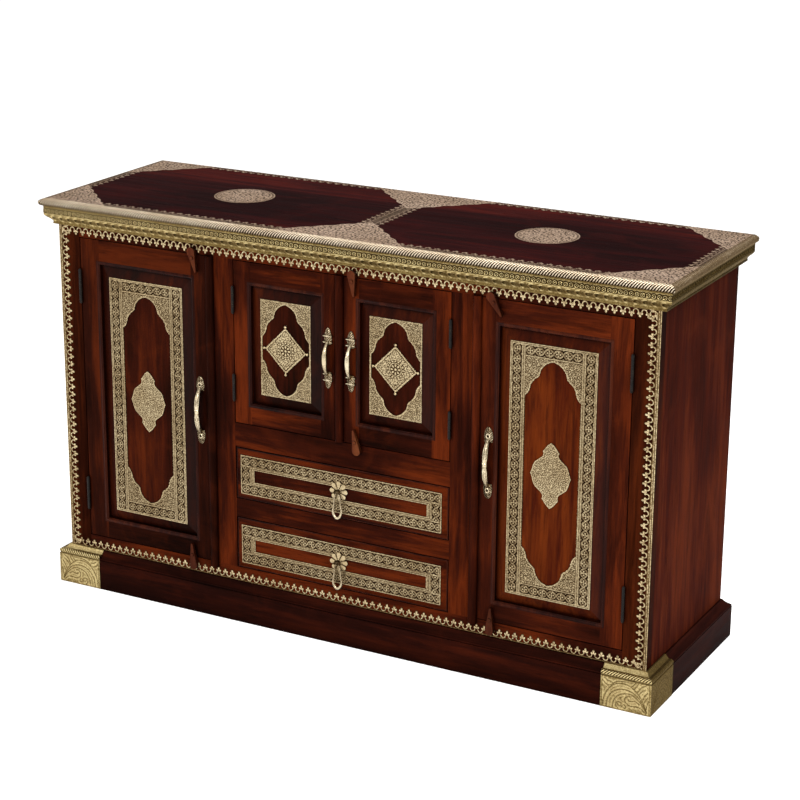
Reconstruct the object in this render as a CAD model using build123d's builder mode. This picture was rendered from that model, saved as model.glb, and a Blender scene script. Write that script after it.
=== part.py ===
from build123d import *
import os
from math import asin, cos, radians, sin, sqrt

# A brass-clad sideboard: four doors, two drawers, six turn latches and two ring pulls.
# Millimetres. +Z is up, the front faces -Y, and the origin is on the floor under the middle.

# ---------------------------------------------------------------- overall
overall_length = 1520.0
overall_depth = 480.0
overall_height = 920.0
side_overhang = 35.0
front_overhang = 28.5
back_overhang = 20.5

# ---------------------------------------------------------------- plinth
plinth_height = 71.0
plinth_moulding_height = 19.0
plinth_projection = 20.5
plinth_board_width = 60.0
plinth_bead = 5.0
plinth_step = 3.0
cap_thickness = 1.2
cap_front_length = 112.0
cap_side_length = 118.0
cap_floor_gap = 1.0

# ---------------------------------------------------------------- carcass boards
side_thickness = 20.0
partition_thickness = 20.0
back_thickness = 8.0
bottom_thickness = 18.0
shelf_thickness = 18.0
cupboard_shelf_rise = 362.0
cupboard_shelf_setback = 40.0
top_board_thickness = 16.2

# ---------------------------------------------------------------- face frame
frame_thickness = 24.0
stile_width = 55.0
mullion_width = 57.0
bottom_rail_height = 34.0
drawer_opening_height = 122.0
drawer_rail_height = 43.0
middle_rail_height = 55.0
top_rail_height = 66.0
# The width of the middle opening, as a share of the overall length.
middle_opening_share = 0.35

# ---------------------------------------------------------------- cornice, nosing, top brass
cornice_height = 42.0
cornice_band_height = 18.0
cornice_set_in = 8.5
cornice_bottom_set_in = 24.0
cornice_lip = 4.0
cornice_lip_proud = 2.5
overlay_thickness = 0.8
overlay_front_width = 43.0
overlay_back_width = 18.0
overlay_end_width = 41.0
overlay_cross_width = 57.0
overlay_corner_cut = 102.0
top_medallion_radius = 69.0

# ---------------------------------------------------------------- crest strips
crest_width = 22.5
crest_side_width = 28.0
crest_thickness = 1.0

# ---------------------------------------------------------------- doors
door_gap = 2.0
meeting_gap = 3.0
door_thickness = 22.0
tall_stile_width = 49.5
tall_top_rail = 56.5
tall_bottom_rail = 48.0
mid_stile_width = 42.0
mid_meeting_stile = 47.0
mid_top_rail = 52.0
mid_bottom_rail = 48.0
frame_chamfer = 4.0
tenon_length = 30.0
tenon_thickness = 7.0
tenon_shoulder = 10.0
joint_play = 0.1
panel_edge_thickness = 6.0
panel_set_back = 10.0
panel_tongue = 7.0
panel_play = 0.3
field_set_back = 2.0
bevel_width = 25.0
astragal_width = 20.0
astragal_height = 11.0
astragal_play = 0.4
astragal_end_gap = 0.6

# ---------------------------------------------------------------- door brass
brass_thickness = 1.0
arch_side_margin = 35.0
arch_end_margin = 34.0
arch_rise = 78.0
lozenge_margin = 3.5
lozenge_rise = 81.0
# Where the two cusps of an arch stand, as shares of its half width and of its rise.
upper_cusp_out = 0.42
upper_cusp_down = 0.25
lower_cusp_out = 0.68
lower_cusp_down = 0.57
cusp_bow = 3.4
dome_bow = 4.6
medallion_side_gap = 16.0
medallion_height = 144.0
medallion_thickness = 2.5
# Where the notch between its lobes stands, as shares of the half width and half height.
medallion_notch_out = 0.62
medallion_notch_up = 0.46
plaque_side_gap = 11.5
plaque_thickness = 2.0
plaque_ball_radius = 3.2
plaque_ball_offset = 6.0

# ---------------------------------------------------------------- bow handles
tall_handle_length = 158.0
tall_handle_inset = 30.0
mid_handle_length = 135.0
mid_handle_drop = 1.0
mid_handle_offset = 28.0
handle_stand_off = 19.5
handle_bar_radius = 4.6
handle_leaf_width = 19.0
handle_leaf_length = 32.0
handle_leaf_thickness = 3.6
handle_collar_radius = 6.2
handle_collar_width = 3.4
handle_collar_spacing = 8.5

# ---------------------------------------------------------------- hinges
hinge_barrel_radius = 3.4
hinge_pin_radius = 1.6
hinge_pin_play = 0.08
hinge_face_play = 0.4
hinge_leaf_thickness = 0.8
hinge_leaf_depth = 18.0
hinge_ball_radius = 2.8
knuckle_play = 0.4
tall_hinge_length = 76.0
tall_hinge_top_inset = 72.5
tall_hinge_bottom_inset = 64.5
mid_hinge_length = 58.0
mid_hinge_top_inset = 58.5
mid_hinge_bottom_inset = 51.5

# ---------------------------------------------------------------- turn latches
latch_width = 19.0
latch_thickness = 8.0
latch_play = 0.5
latch_tip_radius = 2.0
latch_screw_radius = 2.0
latch_screw_head_radius = 3.6
latch_screw_head_height = 2.0
latch_screw_play = 0.08
latch_screw_depth = 14.0
latch_edge_distance = 6.0
top_latch_tip_reach = 33.0
top_latch_head_reach = 14.0
bottom_latch_tip_reach = 27.0
bottom_latch_head_reach = 26.0
middle_bottom_latch_head_reach = 20.0
left_top_latch_inset = 39.5
left_bottom_latch_inset = 56.5
middle_top_latch_inset = 44.0
middle_bottom_latch_inset = 51.0
right_top_latch_inset = 39.0
right_bottom_latch_inset = 44.0
# Lean of each latch at rest, in degrees: positive leans the tip towards +X.
left_top_latch_lean = 14.0
left_bottom_latch_lean = -4.0
middle_top_latch_lean = 7.0
middle_bottom_latch_lean = -10.0
right_top_latch_lean = 33.0
right_bottom_latch_lean = 2.0

# ---------------------------------------------------------------- drawers
drawer_front_thickness = 20.0
drawer_field_proud = 4.0
drawer_bevel_width = 12.0
drawer_bevel_depth = 6.0
drawer_side_thickness = 12.0
drawer_bottom_thickness = 6.0
drawer_bottom_lift = 8.0
drawer_groove_depth = 6.0
drawer_headroom = 26.0
drawer_back_room = 43.0
drawer_front_gap = 1.0
drawer_side_play = 1.0
drawer_slide_play = 0.3
drawer_guide_height = 48.0
drawer_brass_margin = 2.0
drawer_brass_border = 31.5

# ---------------------------------------------------------------- ring pulls
rosette_radius = 20.0
rosette_rise = 5.0
rosette_thickness = 4.0
ear_thickness = 2.6
ear_radius = 4.6
ring_pin_radius = 1.5
ring_wire_radius = 2.2
ring_width = 30.0
ring_drop = 62.0
ring_hub_radius = 4.2
ring_hub_length = 8.0
ring_play = 0.08
ring_side_play = 0.4
ring_back_play = 0.6

# ---------------------------------------------------------------- positions worked out
top_half = overall_length / 2
top_front = -overall_depth / 2
top_back = overall_depth / 2
carcass_half = top_half - side_overhang
carcass_front = top_front + front_overhang
carcass_back = top_back - back_overhang
frame_back = carcass_front + frame_thickness
board_back = carcass_back - back_thickness

plinth_top = plinth_height + plinth_moulding_height
plinth_half = carcass_half + plinth_projection
plinth_front_face = carcass_front - plinth_projection
plinth_back_face = carcass_back + plinth_projection

overlay_bottom = overall_height - overlay_thickness
top_board_bottom = overlay_bottom - top_board_thickness
nosing_radius = (overall_height - top_board_bottom) / 2
cornice_bottom = top_board_bottom - cornice_height

floor_top = plinth_top + bottom_thickness
opening_bottom = plinth_top + bottom_rail_height
opening_top = top_board_bottom - top_rail_height
drawer_rail_bottom = opening_bottom + drawer_opening_height
upper_drawer_bottom = drawer_rail_bottom + drawer_rail_height
middle_rail_bottom = upper_drawer_bottom + drawer_opening_height
mid_opening_bottom = middle_rail_bottom + middle_rail_height
drawer_levels = {"upper": upper_drawer_bottom, "lower": opening_bottom}

opening_outer = carcass_half - stile_width
mullion_inner = overall_length * middle_opening_share / 2
mullion_outer = mullion_inner + mullion_width
partition_inner = (mullion_outer + mullion_inner - partition_thickness) / 2
partition_outer = partition_inner + partition_thickness

crest_bottom_top = plinth_top + cap_thickness + crest_width
crest_top_bottom = cornice_bottom - crest_width

tall_door_span = (opening_bottom + door_gap, opening_top - door_gap)
mid_door_span = (mid_opening_bottom + door_gap, opening_top - door_gap)
tall_hinge_edge = opening_outer - door_gap
tall_free_edge = mullion_outer + door_gap
mid_hinge_edge = mullion_inner - door_gap
meeting_line = astragal_width / 2
panel_back = carcass_front + panel_set_back + panel_edge_thickness
field_front = carcass_front + field_set_back
hinge_stand_off = hinge_barrel_radius + hinge_face_play
hinge_axis_y = carcass_front - hinge_stand_off
latch_back = carcass_front - crest_thickness - latch_play
latch_front = latch_back - latch_thickness

drawer_field_front = carcass_front - drawer_field_proud
drawer_front_back = carcass_front + drawer_front_thickness
drawer_box_back = board_back - drawer_back_room
drawer_box_height = drawer_opening_height - drawer_headroom
rosette_front = drawer_field_front - rosette_thickness
ring_pivot_y = rosette_front - ring_hub_radius - ring_back_play


# ---------------------------------------------------------------- helpers
def facing(y):
    """A plane seen from the front: its local x is +X, its local y is +Z, its normal is -Y."""
    return Plane(origin=(0, y, 0), x_dir=(1, 0, 0), z_dir=(0, -1, 0))


def span(first, second):
    """A range from its two ends in any order."""
    return (min(first, second), max(first, second))


def grown(ends, amount):
    """A range made longer by the same amount at both ends."""
    return (ends[0] - amount, ends[1] + amount)


def middle_of(ends):
    """The middle of a range."""
    return (ends[0] + ends[1]) / 2


def keep(builder, label):
    """Label one finished piece and write its STEP file."""
    builder.part.label = label
    export_step(builder.part, "parts/" + label + ".step")


def keep_group(pieces, label):
    """Write several separate solids that share one node."""
    solids = [solid for piece in pieces for solid in piece.part.solids()]
    group = Compound(label=label, children=solids)
    export_step(group, "parts/" + label + ".step")


def board(x_range, y_range, z_range):
    """A plain rectangular board between two corners."""
    width = x_range[1] - x_range[0]
    depth = y_range[1] - y_range[0]
    middle = ((x_range[0] + x_range[1]) / 2, (y_range[0] + y_range[1]) / 2)
    with BuildPart() as piece:
        with BuildSketch(Plane.XY.offset(z_range[0])):
            with Locations(middle):
                Rectangle(width, depth)
        extrude(amount=z_range[1] - z_range[0])
    return piece


def mirrored(piece):
    """The same piece on the other side of the middle of the cabinet."""
    with BuildPart() as twin:
        mirror(piece.part, about=Plane.YZ)
    return twin


def run(section, start, outward, length):
    """Extrude a moulding section, drawn as (distance outward, height), along one side."""
    plane = Plane(origin=start, x_dir=outward, z_dir=Vector(*outward).cross(Vector(0, 0, 1)))
    with BuildPart() as piece:
        with BuildSketch(plane):
            add(section.sketch)
        extrude(amount=length)
    return piece


def mitred(piece, corner, normal, side):
    """Cut a run to its mitre at one corner."""
    with BuildPart() as cut:
        add(piece.part)
        split(bisect_by=Plane(origin=corner, z_dir=normal), keep=side)
    return cut


# Mitre planes: the front run lies below them, the end runs lie above them.
front_right_mitre = (1, 1, 0)
front_left_mitre = (-1, 1, 0)
back_right_mitre = (1, -1, 0)
back_left_mitre = (-1, -1, 0)


def front_run(section, half, front):
    """A run along the front, mitred at both ends."""
    piece = run(section, (half, front, 0), (0, -1, 0), 2 * half)
    piece = mitred(piece, (half, front, 0), front_right_mitre, Keep.BOTTOM)
    return mitred(piece, (-half, front, 0), front_left_mitre, Keep.BOTTOM)


def end_run(section, half, front, back):
    """A run along the right-hand end, mitred at the front and square at the back."""
    piece = run(section, (half, back, 0), (1, 0, 0), back - front)
    return mitred(piece, (half, front, 0), front_right_mitre, Keep.TOP)


# ---------------------------------------------------------------- plinth
def plinth_section():
    """A flat board, a bead set back on its top edge, and a cove up to the carcass face."""
    bead_foot = (-plinth_step, plinth_height)
    bead_nose = (plinth_bead / 2 - plinth_step, plinth_height + plinth_bead / 2)
    bead_top = (-plinth_step, plinth_height + plinth_bead)
    cove_end = (plinth_step - plinth_projection, plinth_top)
    cove_x = middle_of((bead_top[0], cove_end[0]))
    cove_z = middle_of((bead_top[1], cove_end[1])) - plinth_step / 2
    with BuildSketch() as section:
        with BuildLine():
            Polyline((0, 0), (0, plinth_height), bead_foot)
            ThreePointArc(bead_foot, bead_nose, bead_top)
            ThreePointArc(bead_top, (cove_x, cove_z), cove_end)
            Polyline(cove_end, (-plinth_board_width, plinth_top), (-plinth_board_width, 0), (0, 0))
        make_face()
    return section


def cap_section(board_section):
    """A sheet wrapped over the face and the moulding of the plinth."""
    top = plinth_top + cap_thickness
    with BuildSketch() as section:
        add(board_section.sketch)
        offset(amount=cap_thickness)
        add(board_section.sketch, mode=Mode.SUBTRACT)
        with Locations((cap_thickness, cap_floor_gap)):
            Rectangle(
                plinth_projection + cap_thickness,
                top - cap_floor_gap,
                align=(Align.MAX, Align.MIN),
                mode=Mode.INTERSECT,
            )
    return section


def build_plinth():
    section = plinth_section()
    front = front_run(section, plinth_half, plinth_front_face)
    keep(front, "plinth_front")

    right = end_run(section, plinth_half, plinth_front_face, plinth_back_face)
    right = mitred(right, (plinth_half, plinth_back_face, 0), back_right_mitre, Keep.TOP)
    keep_group([right, mirrored(right)], "plinth_ends")

    back = run(section, (-plinth_half, plinth_back_face, 0), (0, 1, 0), 2 * plinth_half)
    back = mitred(back, (plinth_half, plinth_back_face, 0), back_right_mitre, Keep.BOTTOM)
    back = mitred(back, (-plinth_half, plinth_back_face, 0), back_left_mitre, Keep.BOTTOM)
    keep(back, "plinth_back")

    start = (plinth_half - cap_front_length, plinth_front_face)
    corner = (plinth_half, plinth_front_face)
    end = (plinth_half, plinth_front_face + cap_side_length)
    with BuildPart() as cap:
        with BuildLine() as route:
            Polyline(start, corner, end)
        with BuildSketch(Plane(origin=route.line @ 0, x_dir=(0, -1, 0), z_dir=(-1, 0, 0))):
            add(cap_section(section).sketch)
        sweep(path=route.line, transition=Transition.RIGHT)
    keep_group([cap, mirrored(cap)], "plinth_corner_caps")


# ---------------------------------------------------------------- carcass
def build_carcass():
    inner_half = carcass_half - side_thickness
    right_side = board(
        (inner_half, carcass_half), (frame_back, carcass_back), (plinth_top, top_board_bottom)
    )
    keep(right_side, "side_panel_right")
    keep(mirrored(right_side), "side_panel_left")
    back = board((-inner_half, inner_half), (board_back, carcass_back), (plinth_top, top_board_bottom))
    keep(back, "back_panel")
    bottom = board((-inner_half, inner_half), (frame_back, board_back), (plinth_top, floor_top))
    keep(bottom, "bottom_board")

    right_partition = board(
        (partition_inner, partition_outer), (frame_back, board_back), (floor_top, top_board_bottom)
    )
    keep_group([right_partition, mirrored(right_partition)], "partitions")

    shelf_front = frame_back + cupboard_shelf_setback
    shelf_bottom = floor_top + cupboard_shelf_rise
    shelf_z = (shelf_bottom, shelf_bottom + shelf_thickness)
    right_shelf = board((partition_outer, inner_half), (shelf_front, board_back), shelf_z)
    keep_group([right_shelf, mirrored(right_shelf)], "cupboard_shelves")

    between = (-partition_inner, partition_inner)
    deep = (frame_back, board_back)
    middle_shelf = board(between, deep, (mid_opening_bottom - shelf_thickness, mid_opening_bottom))
    keep(middle_shelf, "middle_shelf")

    lower_bed = board(between, deep, (floor_top, opening_bottom))
    upper_bed = board(between, deep, (upper_drawer_bottom - shelf_thickness, upper_drawer_bottom))
    runners = [lower_bed, upper_bed]
    for level in drawer_levels.values():
        guide = board((mullion_inner, partition_inner), deep, (level, level + drawer_guide_height))
        runners += [guide, mirrored(guide)]
    keep_group(runners, "drawer_runners")


def build_face_frame():
    thick = (carcass_front, frame_back)
    right_stile = board((opening_outer, carcass_half), thick, (plinth_top, top_board_bottom))
    keep_group([right_stile, mirrored(right_stile)], "face_stiles")
    right_mullion = board((mullion_inner, mullion_outer), thick, (opening_bottom, opening_top))
    keep_group([right_mullion, mirrored(right_mullion)], "mullions")
    whole = (-opening_outer, opening_outer)
    centre = (-mullion_inner, mullion_inner)
    keep(board(whole, thick, (plinth_top, opening_bottom)), "bottom_rail")
    keep(board(whole, thick, (opening_top, top_board_bottom)), "top_rail")
    keep(board(centre, thick, (drawer_rail_bottom, upper_drawer_bottom)), "drawer_rail")
    keep(board(centre, thick, (middle_rail_bottom, mid_opening_bottom)), "middle_rail")


# ---------------------------------------------------------------- top, cornice and brass
def nosing_section():
    """A half-round as high as the top."""
    back = -nosing_radius
    with BuildSketch() as section:
        with BuildLine():
            nose = (0, middle_of((top_board_bottom, overall_height)))
            ThreePointArc((back, top_board_bottom), nose, (back, overall_height))
            Line((back, overall_height), (back, top_board_bottom))
        make_face()
    return section


def cornice_section(back):
    """An upright band over an ogee that runs in to a small lip, closed on the carcass face."""
    band_bottom = top_board_bottom - cornice_band_height
    lip_top = cornice_bottom + cornice_lip
    lip_out = cornice_lip_proud - cornice_bottom_set_in
    ogee_end = (-cornice_bottom_set_in, lip_top)
    knee = (-middle_of((cornice_set_in, cornice_bottom_set_in)), middle_of((band_bottom, lip_top)))
    with BuildSketch() as section:
        with BuildLine():
            band = Line((-cornice_set_in, top_board_bottom), (-cornice_set_in, band_bottom))
            belly = TangentArc(band @ 1, knee, tangent=band % 1)
            TangentArc(belly @ 1, ogee_end, tangent=belly % 1)
            Polyline(ogee_end, (lip_out, lip_top), (lip_out, cornice_bottom), (-back, cornice_bottom))
            Polyline((-back, cornice_bottom), (-back, top_board_bottom), (-cornice_set_in, top_board_bottom))
        make_face()
    return section


def build_top():
    board_half = top_half - nosing_radius
    board_front = top_front + nosing_radius
    top = board((-board_half, board_half), (board_front, top_back), (top_board_bottom, overlay_bottom))
    keep(top, "top_board")

    nosing_front = front_run(nosing_section(), top_half, top_front)
    nosing_right = end_run(nosing_section(), top_half, top_front, top_back)
    keep_group([nosing_front, nosing_right, mirrored(nosing_right)], "nosing")

    front = front_run(cornice_section(front_overhang), top_half, top_front)
    right = end_run(cornice_section(side_overhang), top_half, top_front, top_back)
    carcass_x = (-carcass_half, carcass_half)
    carcass_y = (carcass_front, carcass_back)
    corner_block = board(carcass_x, carcass_y, (cornice_bottom, top_board_bottom))
    with BuildPart() as front_clear:
        add(front.part)
        add(corner_block.part, mode=Mode.SUBTRACT)
    with BuildPart() as right_clear:
        add(right.part)
        add(corner_block.part, mode=Mode.SUBTRACT)
    keep_group([front_clear, right_clear, mirrored(right_clear)], "cornice")

    field_outer = top_half - overlay_end_width
    field_inner = overlay_cross_width / 2
    field_front_edge = top_front + overlay_front_width
    field_back_edge = top_back - overlay_back_width
    centre_x = (field_outer + field_inner) / 2
    centre_y = (field_front_edge + field_back_edge) / 2
    with BuildSketch() as field:
        Rectangle(field_outer - field_inner, field_back_edge - field_front_edge)
        chamfer(field.vertices(), overlay_corner_cut)
    with BuildPart() as overlay:
        with BuildSketch(Plane.XY.offset(overlay_bottom)):
            with Locations((0, (board_front + top_back) / 2)):
                Rectangle(2 * board_half, top_back - board_front)
            with Locations((-centre_x, centre_y), (centre_x, centre_y)):
                add(field.sketch, mode=Mode.SUBTRACT)
        extrude(amount=overlay_thickness)
    keep(overlay, "top_overlay")
    with BuildPart() as medallions:
        with BuildSketch(Plane.XY.offset(overlay_bottom)):
            with Locations((-centre_x, centre_y), (centre_x, centre_y)):
                Circle(top_medallion_radius)
        extrude(amount=overlay_thickness)
    keep_group([medallions], "top_medallions")


def build_crest_strips():
    """Flat blanks of the pierced strips on the face frame."""
    skin = (carcass_front - crest_thickness, carcass_front)
    side_inner = carcass_half - crest_side_width
    between = (-side_inner, side_inner)
    foot = plinth_top + cap_thickness
    top = board(between, skin, (crest_top_bottom, cornice_bottom))
    bottom = board(between, skin, (foot, crest_bottom_top))
    right = board((side_inner, carcass_half), skin, (foot, cornice_bottom))
    keep_group([top, bottom, right, mirrored(right)], "crest_strips")


# ---------------------------------------------------------------- door joinery
def window_rectangle(x_ends, z_ends, amount):
    """A rectangle over two ranges, grown by the same amount all round."""
    with Locations((middle_of(x_ends), middle_of(z_ends))):
        Rectangle(x_ends[1] - x_ends[0] + 2 * amount, z_ends[1] - z_ends[0] + 2 * amount)


def chamfer_cutter(recess_x, recess_z):
    """The funnel that gives the frame its chamfered inner edge."""
    with BuildPart() as cutter:
        with BuildSketch(facing(carcass_front + frame_chamfer)):
            window_rectangle(recess_x, recess_z, 0)
        with BuildSketch(facing(carcass_front)):
            window_rectangle(recess_x, recess_z, frame_chamfer)
        loft(ruled=True)
    return cutter


def door_boards(door_x, door_z, recess_x, recess_z, latch_places):
    """Two stiles and two tenoned rails around a grooved and chamfered recess."""
    thick = (carcass_front, carcass_front + door_thickness)
    tenon_y = grown((middle_of(thick), middle_of(thick)), tenon_thickness / 2)
    rail_levels = [(door_z[0], recess_z[0]), (recess_z[1], door_z[1])]
    groove_y = grown((carcass_front + panel_set_back, panel_back), joint_play)
    groove = board(grown(recess_x, panel_tongue), groove_y, grown(recess_z, panel_tongue))
    cuts = [groove, chamfer_cutter(recess_x, recess_z)]
    cuts += [latch_hole(x, z) for x, z in latch_places]

    mortises = []
    for level in rail_levels:
        mortise_x = grown(recess_x, tenon_length + joint_play)
        mortise_z = grown(level, joint_play - tenon_shoulder)
        mortises.append(board(mortise_x, grown(tenon_y, joint_play), mortise_z))

    finished = []
    for stile_x in ((door_x[0], recess_x[0]), (recess_x[1], door_x[1])):
        stile = board(stile_x, thick, door_z)
        with BuildPart() as shaped_stile:
            add(stile.part)
            for cut in cuts + mortises:
                add(cut.part, mode=Mode.SUBTRACT)
        finished.append(shaped_stile)
    for level in rail_levels:
        rail = board(recess_x, thick, level)
        tenon = board(grown(recess_x, tenon_length), tenon_y, grown(level, -tenon_shoulder))
        with BuildPart() as shaped_rail:
            add(rail.part)
            add(tenon.part)
            for cut in cuts:
                add(cut.part, mode=Mode.SUBTRACT)
        finished.append(shaped_rail)
    return finished


def raised_panel(recess_x, recess_z):
    """A panel with a tongue all round and a flat field raised by a bevel."""
    with BuildPart() as panel:
        with BuildSketch(facing(panel_back)):
            window_rectangle(recess_x, recess_z, panel_tongue - panel_play)
        extrude(amount=panel_edge_thickness)
        with BuildSketch(facing(carcass_front + panel_set_back)):
            window_rectangle(recess_x, recess_z, -panel_play)
        with BuildSketch(facing(field_front)):
            window_rectangle(recess_x, recess_z, -bevel_width)
        loft(ruled=True)
    return panel


def astragal(centre, bead_z, door_x, door_z):
    """A half-round bead on a door's free edge, eased wherever it laps past that door."""
    ends = grown((centre, centre), astragal_width / 2)
    ease = (carcass_front - astragal_play, carcass_front)
    beyond = [
        board((ends[0] - astragal_play, door_x[0]), ease, bead_z) if ends[0] < door_x[0] else None,
        board((door_x[1], ends[1] + astragal_play), ease, bead_z) if ends[1] > door_x[1] else None,
        board(ends, ease, (bead_z[0], door_z[0])) if bead_z[0] < door_z[0] else None,
        board(ends, ease, (door_z[1], bead_z[1])) if bead_z[1] > door_z[1] else None,
    ]
    with BuildPart() as bead:
        with BuildSketch(Plane.XY.offset(bead_z[0])):
            with BuildLine():
                crown = (centre, carcass_front - astragal_height)
                ThreePointArc((ends[0], carcass_front), crown, (ends[1], carcass_front))
                Line((ends[1], carcass_front), (ends[0], carcass_front))
            make_face()
        extrude(amount=bead_z[1] - bead_z[0])
        for lap in beyond:
            if lap is not None:
                add(lap.part, mode=Mode.SUBTRACT)
    return bead


# ---------------------------------------------------------------- door brass
def lobe(start, end, bow):
    """One arc of a cusped outline, bowed to the left of its direction."""
    along = Vector(end[0] - start[0], end[1] - start[1]).normalized()
    middle = ((start[0] + end[0]) / 2 - along.Y * bow, (start[1] + end[1]) / 2 + along.X * bow)
    ThreePointArc(start, middle, end)


def cusped_window(half_width, half_height, rise):
    """A tall window whose two ends are arches: a dome, then two hollow steps down each side."""
    upper_cusp = (half_width * upper_cusp_out, half_height - rise * upper_cusp_down)
    lower_cusp = (half_width * lower_cusp_out, half_height - rise * lower_cusp_down)
    spring = (half_width, half_height - rise)
    with BuildSketch() as window:
        with BuildLine():
            lobe((0, half_height), upper_cusp, dome_bow)
            lobe(upper_cusp, lower_cusp, -cusp_bow)
            lobe(lower_cusp, spring, -cusp_bow)
            Line(spring, (half_width, 0))
            mirror(about=Plane.XZ)
            mirror(about=Plane.YZ)
        make_face()
    return window


def pierced_plate(recess_x, recess_z, window):
    """A brass plate on a panel's field with a window cut through it."""
    with BuildPart() as plate:
        with BuildSketch(facing(field_front)):
            window_rectangle(recess_x, recess_z, -bevel_width)
            with Locations((middle_of(recess_x), middle_of(recess_z))):
                add(window.sketch, mode=Mode.SUBTRACT)
        extrude(amount=brass_thickness)
    return plate


def pointed_medallion(centre, half_width):
    """A pointed oval plaque with two lobes down each flank."""
    half_height = medallion_height / 2
    notch = (half_width * medallion_notch_out, half_height * medallion_notch_up)
    with BuildSketch() as outline:
        with BuildLine():
            lobe((0, half_height), notch, cusp_bow)
            lobe(notch, (half_width, 0), cusp_bow)
            mirror(about=Plane.XZ)
            mirror(about=Plane.YZ)
        make_face()
    with BuildPart() as plaque:
        with BuildSketch(facing(field_front)):
            with Locations(centre):
                add(outline.sketch)
        extrude(amount=medallion_thickness)
    return plaque


def diamond_plaque(centre, half_diagonal):
    """A square plaque stood on one corner, with a ball at each corner."""
    side = half_diagonal * sqrt(2)
    ball_reach = half_diagonal + plaque_ball_offset
    with BuildPart() as plaque:
        with BuildSketch(facing(field_front)):
            with Locations(centre):
                Rectangle(side, side, rotation=45)
                Rectangle(2 * ball_reach, plaque_ball_radius)
                Rectangle(plaque_ball_radius, 2 * ball_reach)
                with PolarLocations(ball_reach, 4):
                    Circle(plaque_ball_radius)
        extrude(amount=plaque_thickness)
    return plaque


# ---------------------------------------------------------------- door fittings
def bow_handle(x, z, length):
    """A cast bow handle: two leaf feet, a bowed bar and two collars at its middle."""
    half_leaf = handle_leaf_length / 2
    foot_reach = length / 2 - half_leaf
    bar_plane = Plane(origin=(x, carcass_front, z), x_dir=(0, -1, 0), z_dir=(-1, 0, 0))
    bar_top = carcass_front - handle_stand_off
    with BuildPart() as handle:
        with BuildLine(bar_plane) as bow:
            ThreePointArc((0, -foot_reach), (handle_stand_off, 0), (0, foot_reach))
        with BuildSketch(Plane(origin=bow.line @ 0, z_dir=bow.line % 0)):
            Circle(handle_bar_radius)
        sweep(path=bow.line)
        for side in (-1, 1):
            collar_middle = z + side * handle_collar_spacing / 2
            with BuildSketch(Plane(origin=(x, bar_top, collar_middle - handle_collar_width / 2))):
                Circle(handle_collar_radius)
            extrude(amount=handle_collar_width)
        split(bisect_by=facing(carcass_front), keep=Keep.TOP)
        for side in (-1, 1):
            foot = (x, carcass_front, z + side * foot_reach)
            leaf_plane = Plane(origin=foot, x_dir=(1, 0, 0), z_dir=(0, -1, 0))
            half_width = handle_leaf_width / 2
            with BuildSketch(leaf_plane):
                with BuildLine():
                    ThreePointArc((0, -half_leaf), (half_width, 0), (0, half_leaf))
                    ThreePointArc((0, half_leaf), (-half_width, 0), (0, -half_leaf))
                make_face()
            extrude(amount=handle_leaf_thickness)
    return handle


def round_bar(x, y, z_ends, radius):
    """An upright round bar."""
    with BuildPart() as bar:
        with BuildSketch(Plane.XY.offset(z_ends[0])):
            with Locations((x, y)):
                Circle(radius)
        extrude(amount=z_ends[1] - z_ends[0])
    return bar


def hinge_halves(axis_x, toward_door, z_ends):
    """A butt hinge: the frame half holds two knuckles and the pin, the door half the middle knuckle."""
    third = (z_ends[1] - z_ends[0]) / 3
    low = (z_ends[0], z_ends[0] + third - knuckle_play)
    centre = (z_ends[0] + third, z_ends[1] - third)
    high = (z_ends[1] - third + knuckle_play, z_ends[1])
    tab_y = (hinge_axis_y + middle_of((hinge_pin_radius, hinge_barrel_radius)), carcass_front)
    leaf_y = (carcass_front, carcass_front + hinge_leaf_depth)
    near = door_gap / 2 - hinge_leaf_thickness
    far = door_gap / 2
    door_x = span(axis_x + near * toward_door, axis_x + far * toward_door)
    frame_x = span(axis_x - near * toward_door, axis_x - far * toward_door)
    frame_leaf = board(frame_x, leaf_y, z_ends)
    frame_tabs = [board(frame_x, tab_y, low), board(frame_x, tab_y, high)]
    pin = round_bar(axis_x, hinge_axis_y, z_ends, hinge_pin_radius)
    end_knuckles = [round_bar(axis_x, hinge_axis_y, ends, hinge_barrel_radius) for ends in (low, high)]
    with BuildPart() as frame_half:
        for piece in [frame_leaf, pin] + frame_tabs + end_knuckles:
            add(piece.part)
        with Locations((axis_x, hinge_axis_y, z_ends[0]), (axis_x, hinge_axis_y, z_ends[1])):
            Sphere(hinge_ball_radius)
    door_leaf = board(door_x, leaf_y, z_ends)
    door_tab = board(door_x, tab_y, centre)
    knuckle = round_bar(axis_x, hinge_axis_y, centre, hinge_barrel_radius)
    bore = round_bar(axis_x, hinge_axis_y, centre, hinge_pin_radius + hinge_pin_play)
    with BuildPart() as door_half:
        for piece in (door_leaf, door_tab, knuckle):
            add(piece.part)
        add(bore.part, mode=Mode.SUBTRACT)
    return frame_half, door_half


def hinge_pair(axis_x, toward_door, door_z, length, insets):
    """The two hinges of one door, from their distances to its bottom and top."""
    lower_z = (door_z[0] + insets[0], door_z[0] + insets[0] + length)
    upper_z = (door_z[1] - insets[1] - length, door_z[1] - insets[1])
    lower = hinge_halves(axis_x, toward_door, lower_z)
    upper = hinge_halves(axis_x, toward_door, upper_z)
    return [lower[0], upper[0]], [lower[1], upper[1]]


# ---------------------------------------------------------------- turn latches
def latch_hole(x, z):
    """The hole in a door's rail that a latch screw turns in."""
    with BuildPart() as hole:
        with BuildSketch(facing(carcass_front + latch_screw_depth)):
            with Locations((x, z)):
                Circle(latch_screw_radius + latch_screw_play)
        extrude(amount=latch_screw_depth)
    return hole


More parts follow.
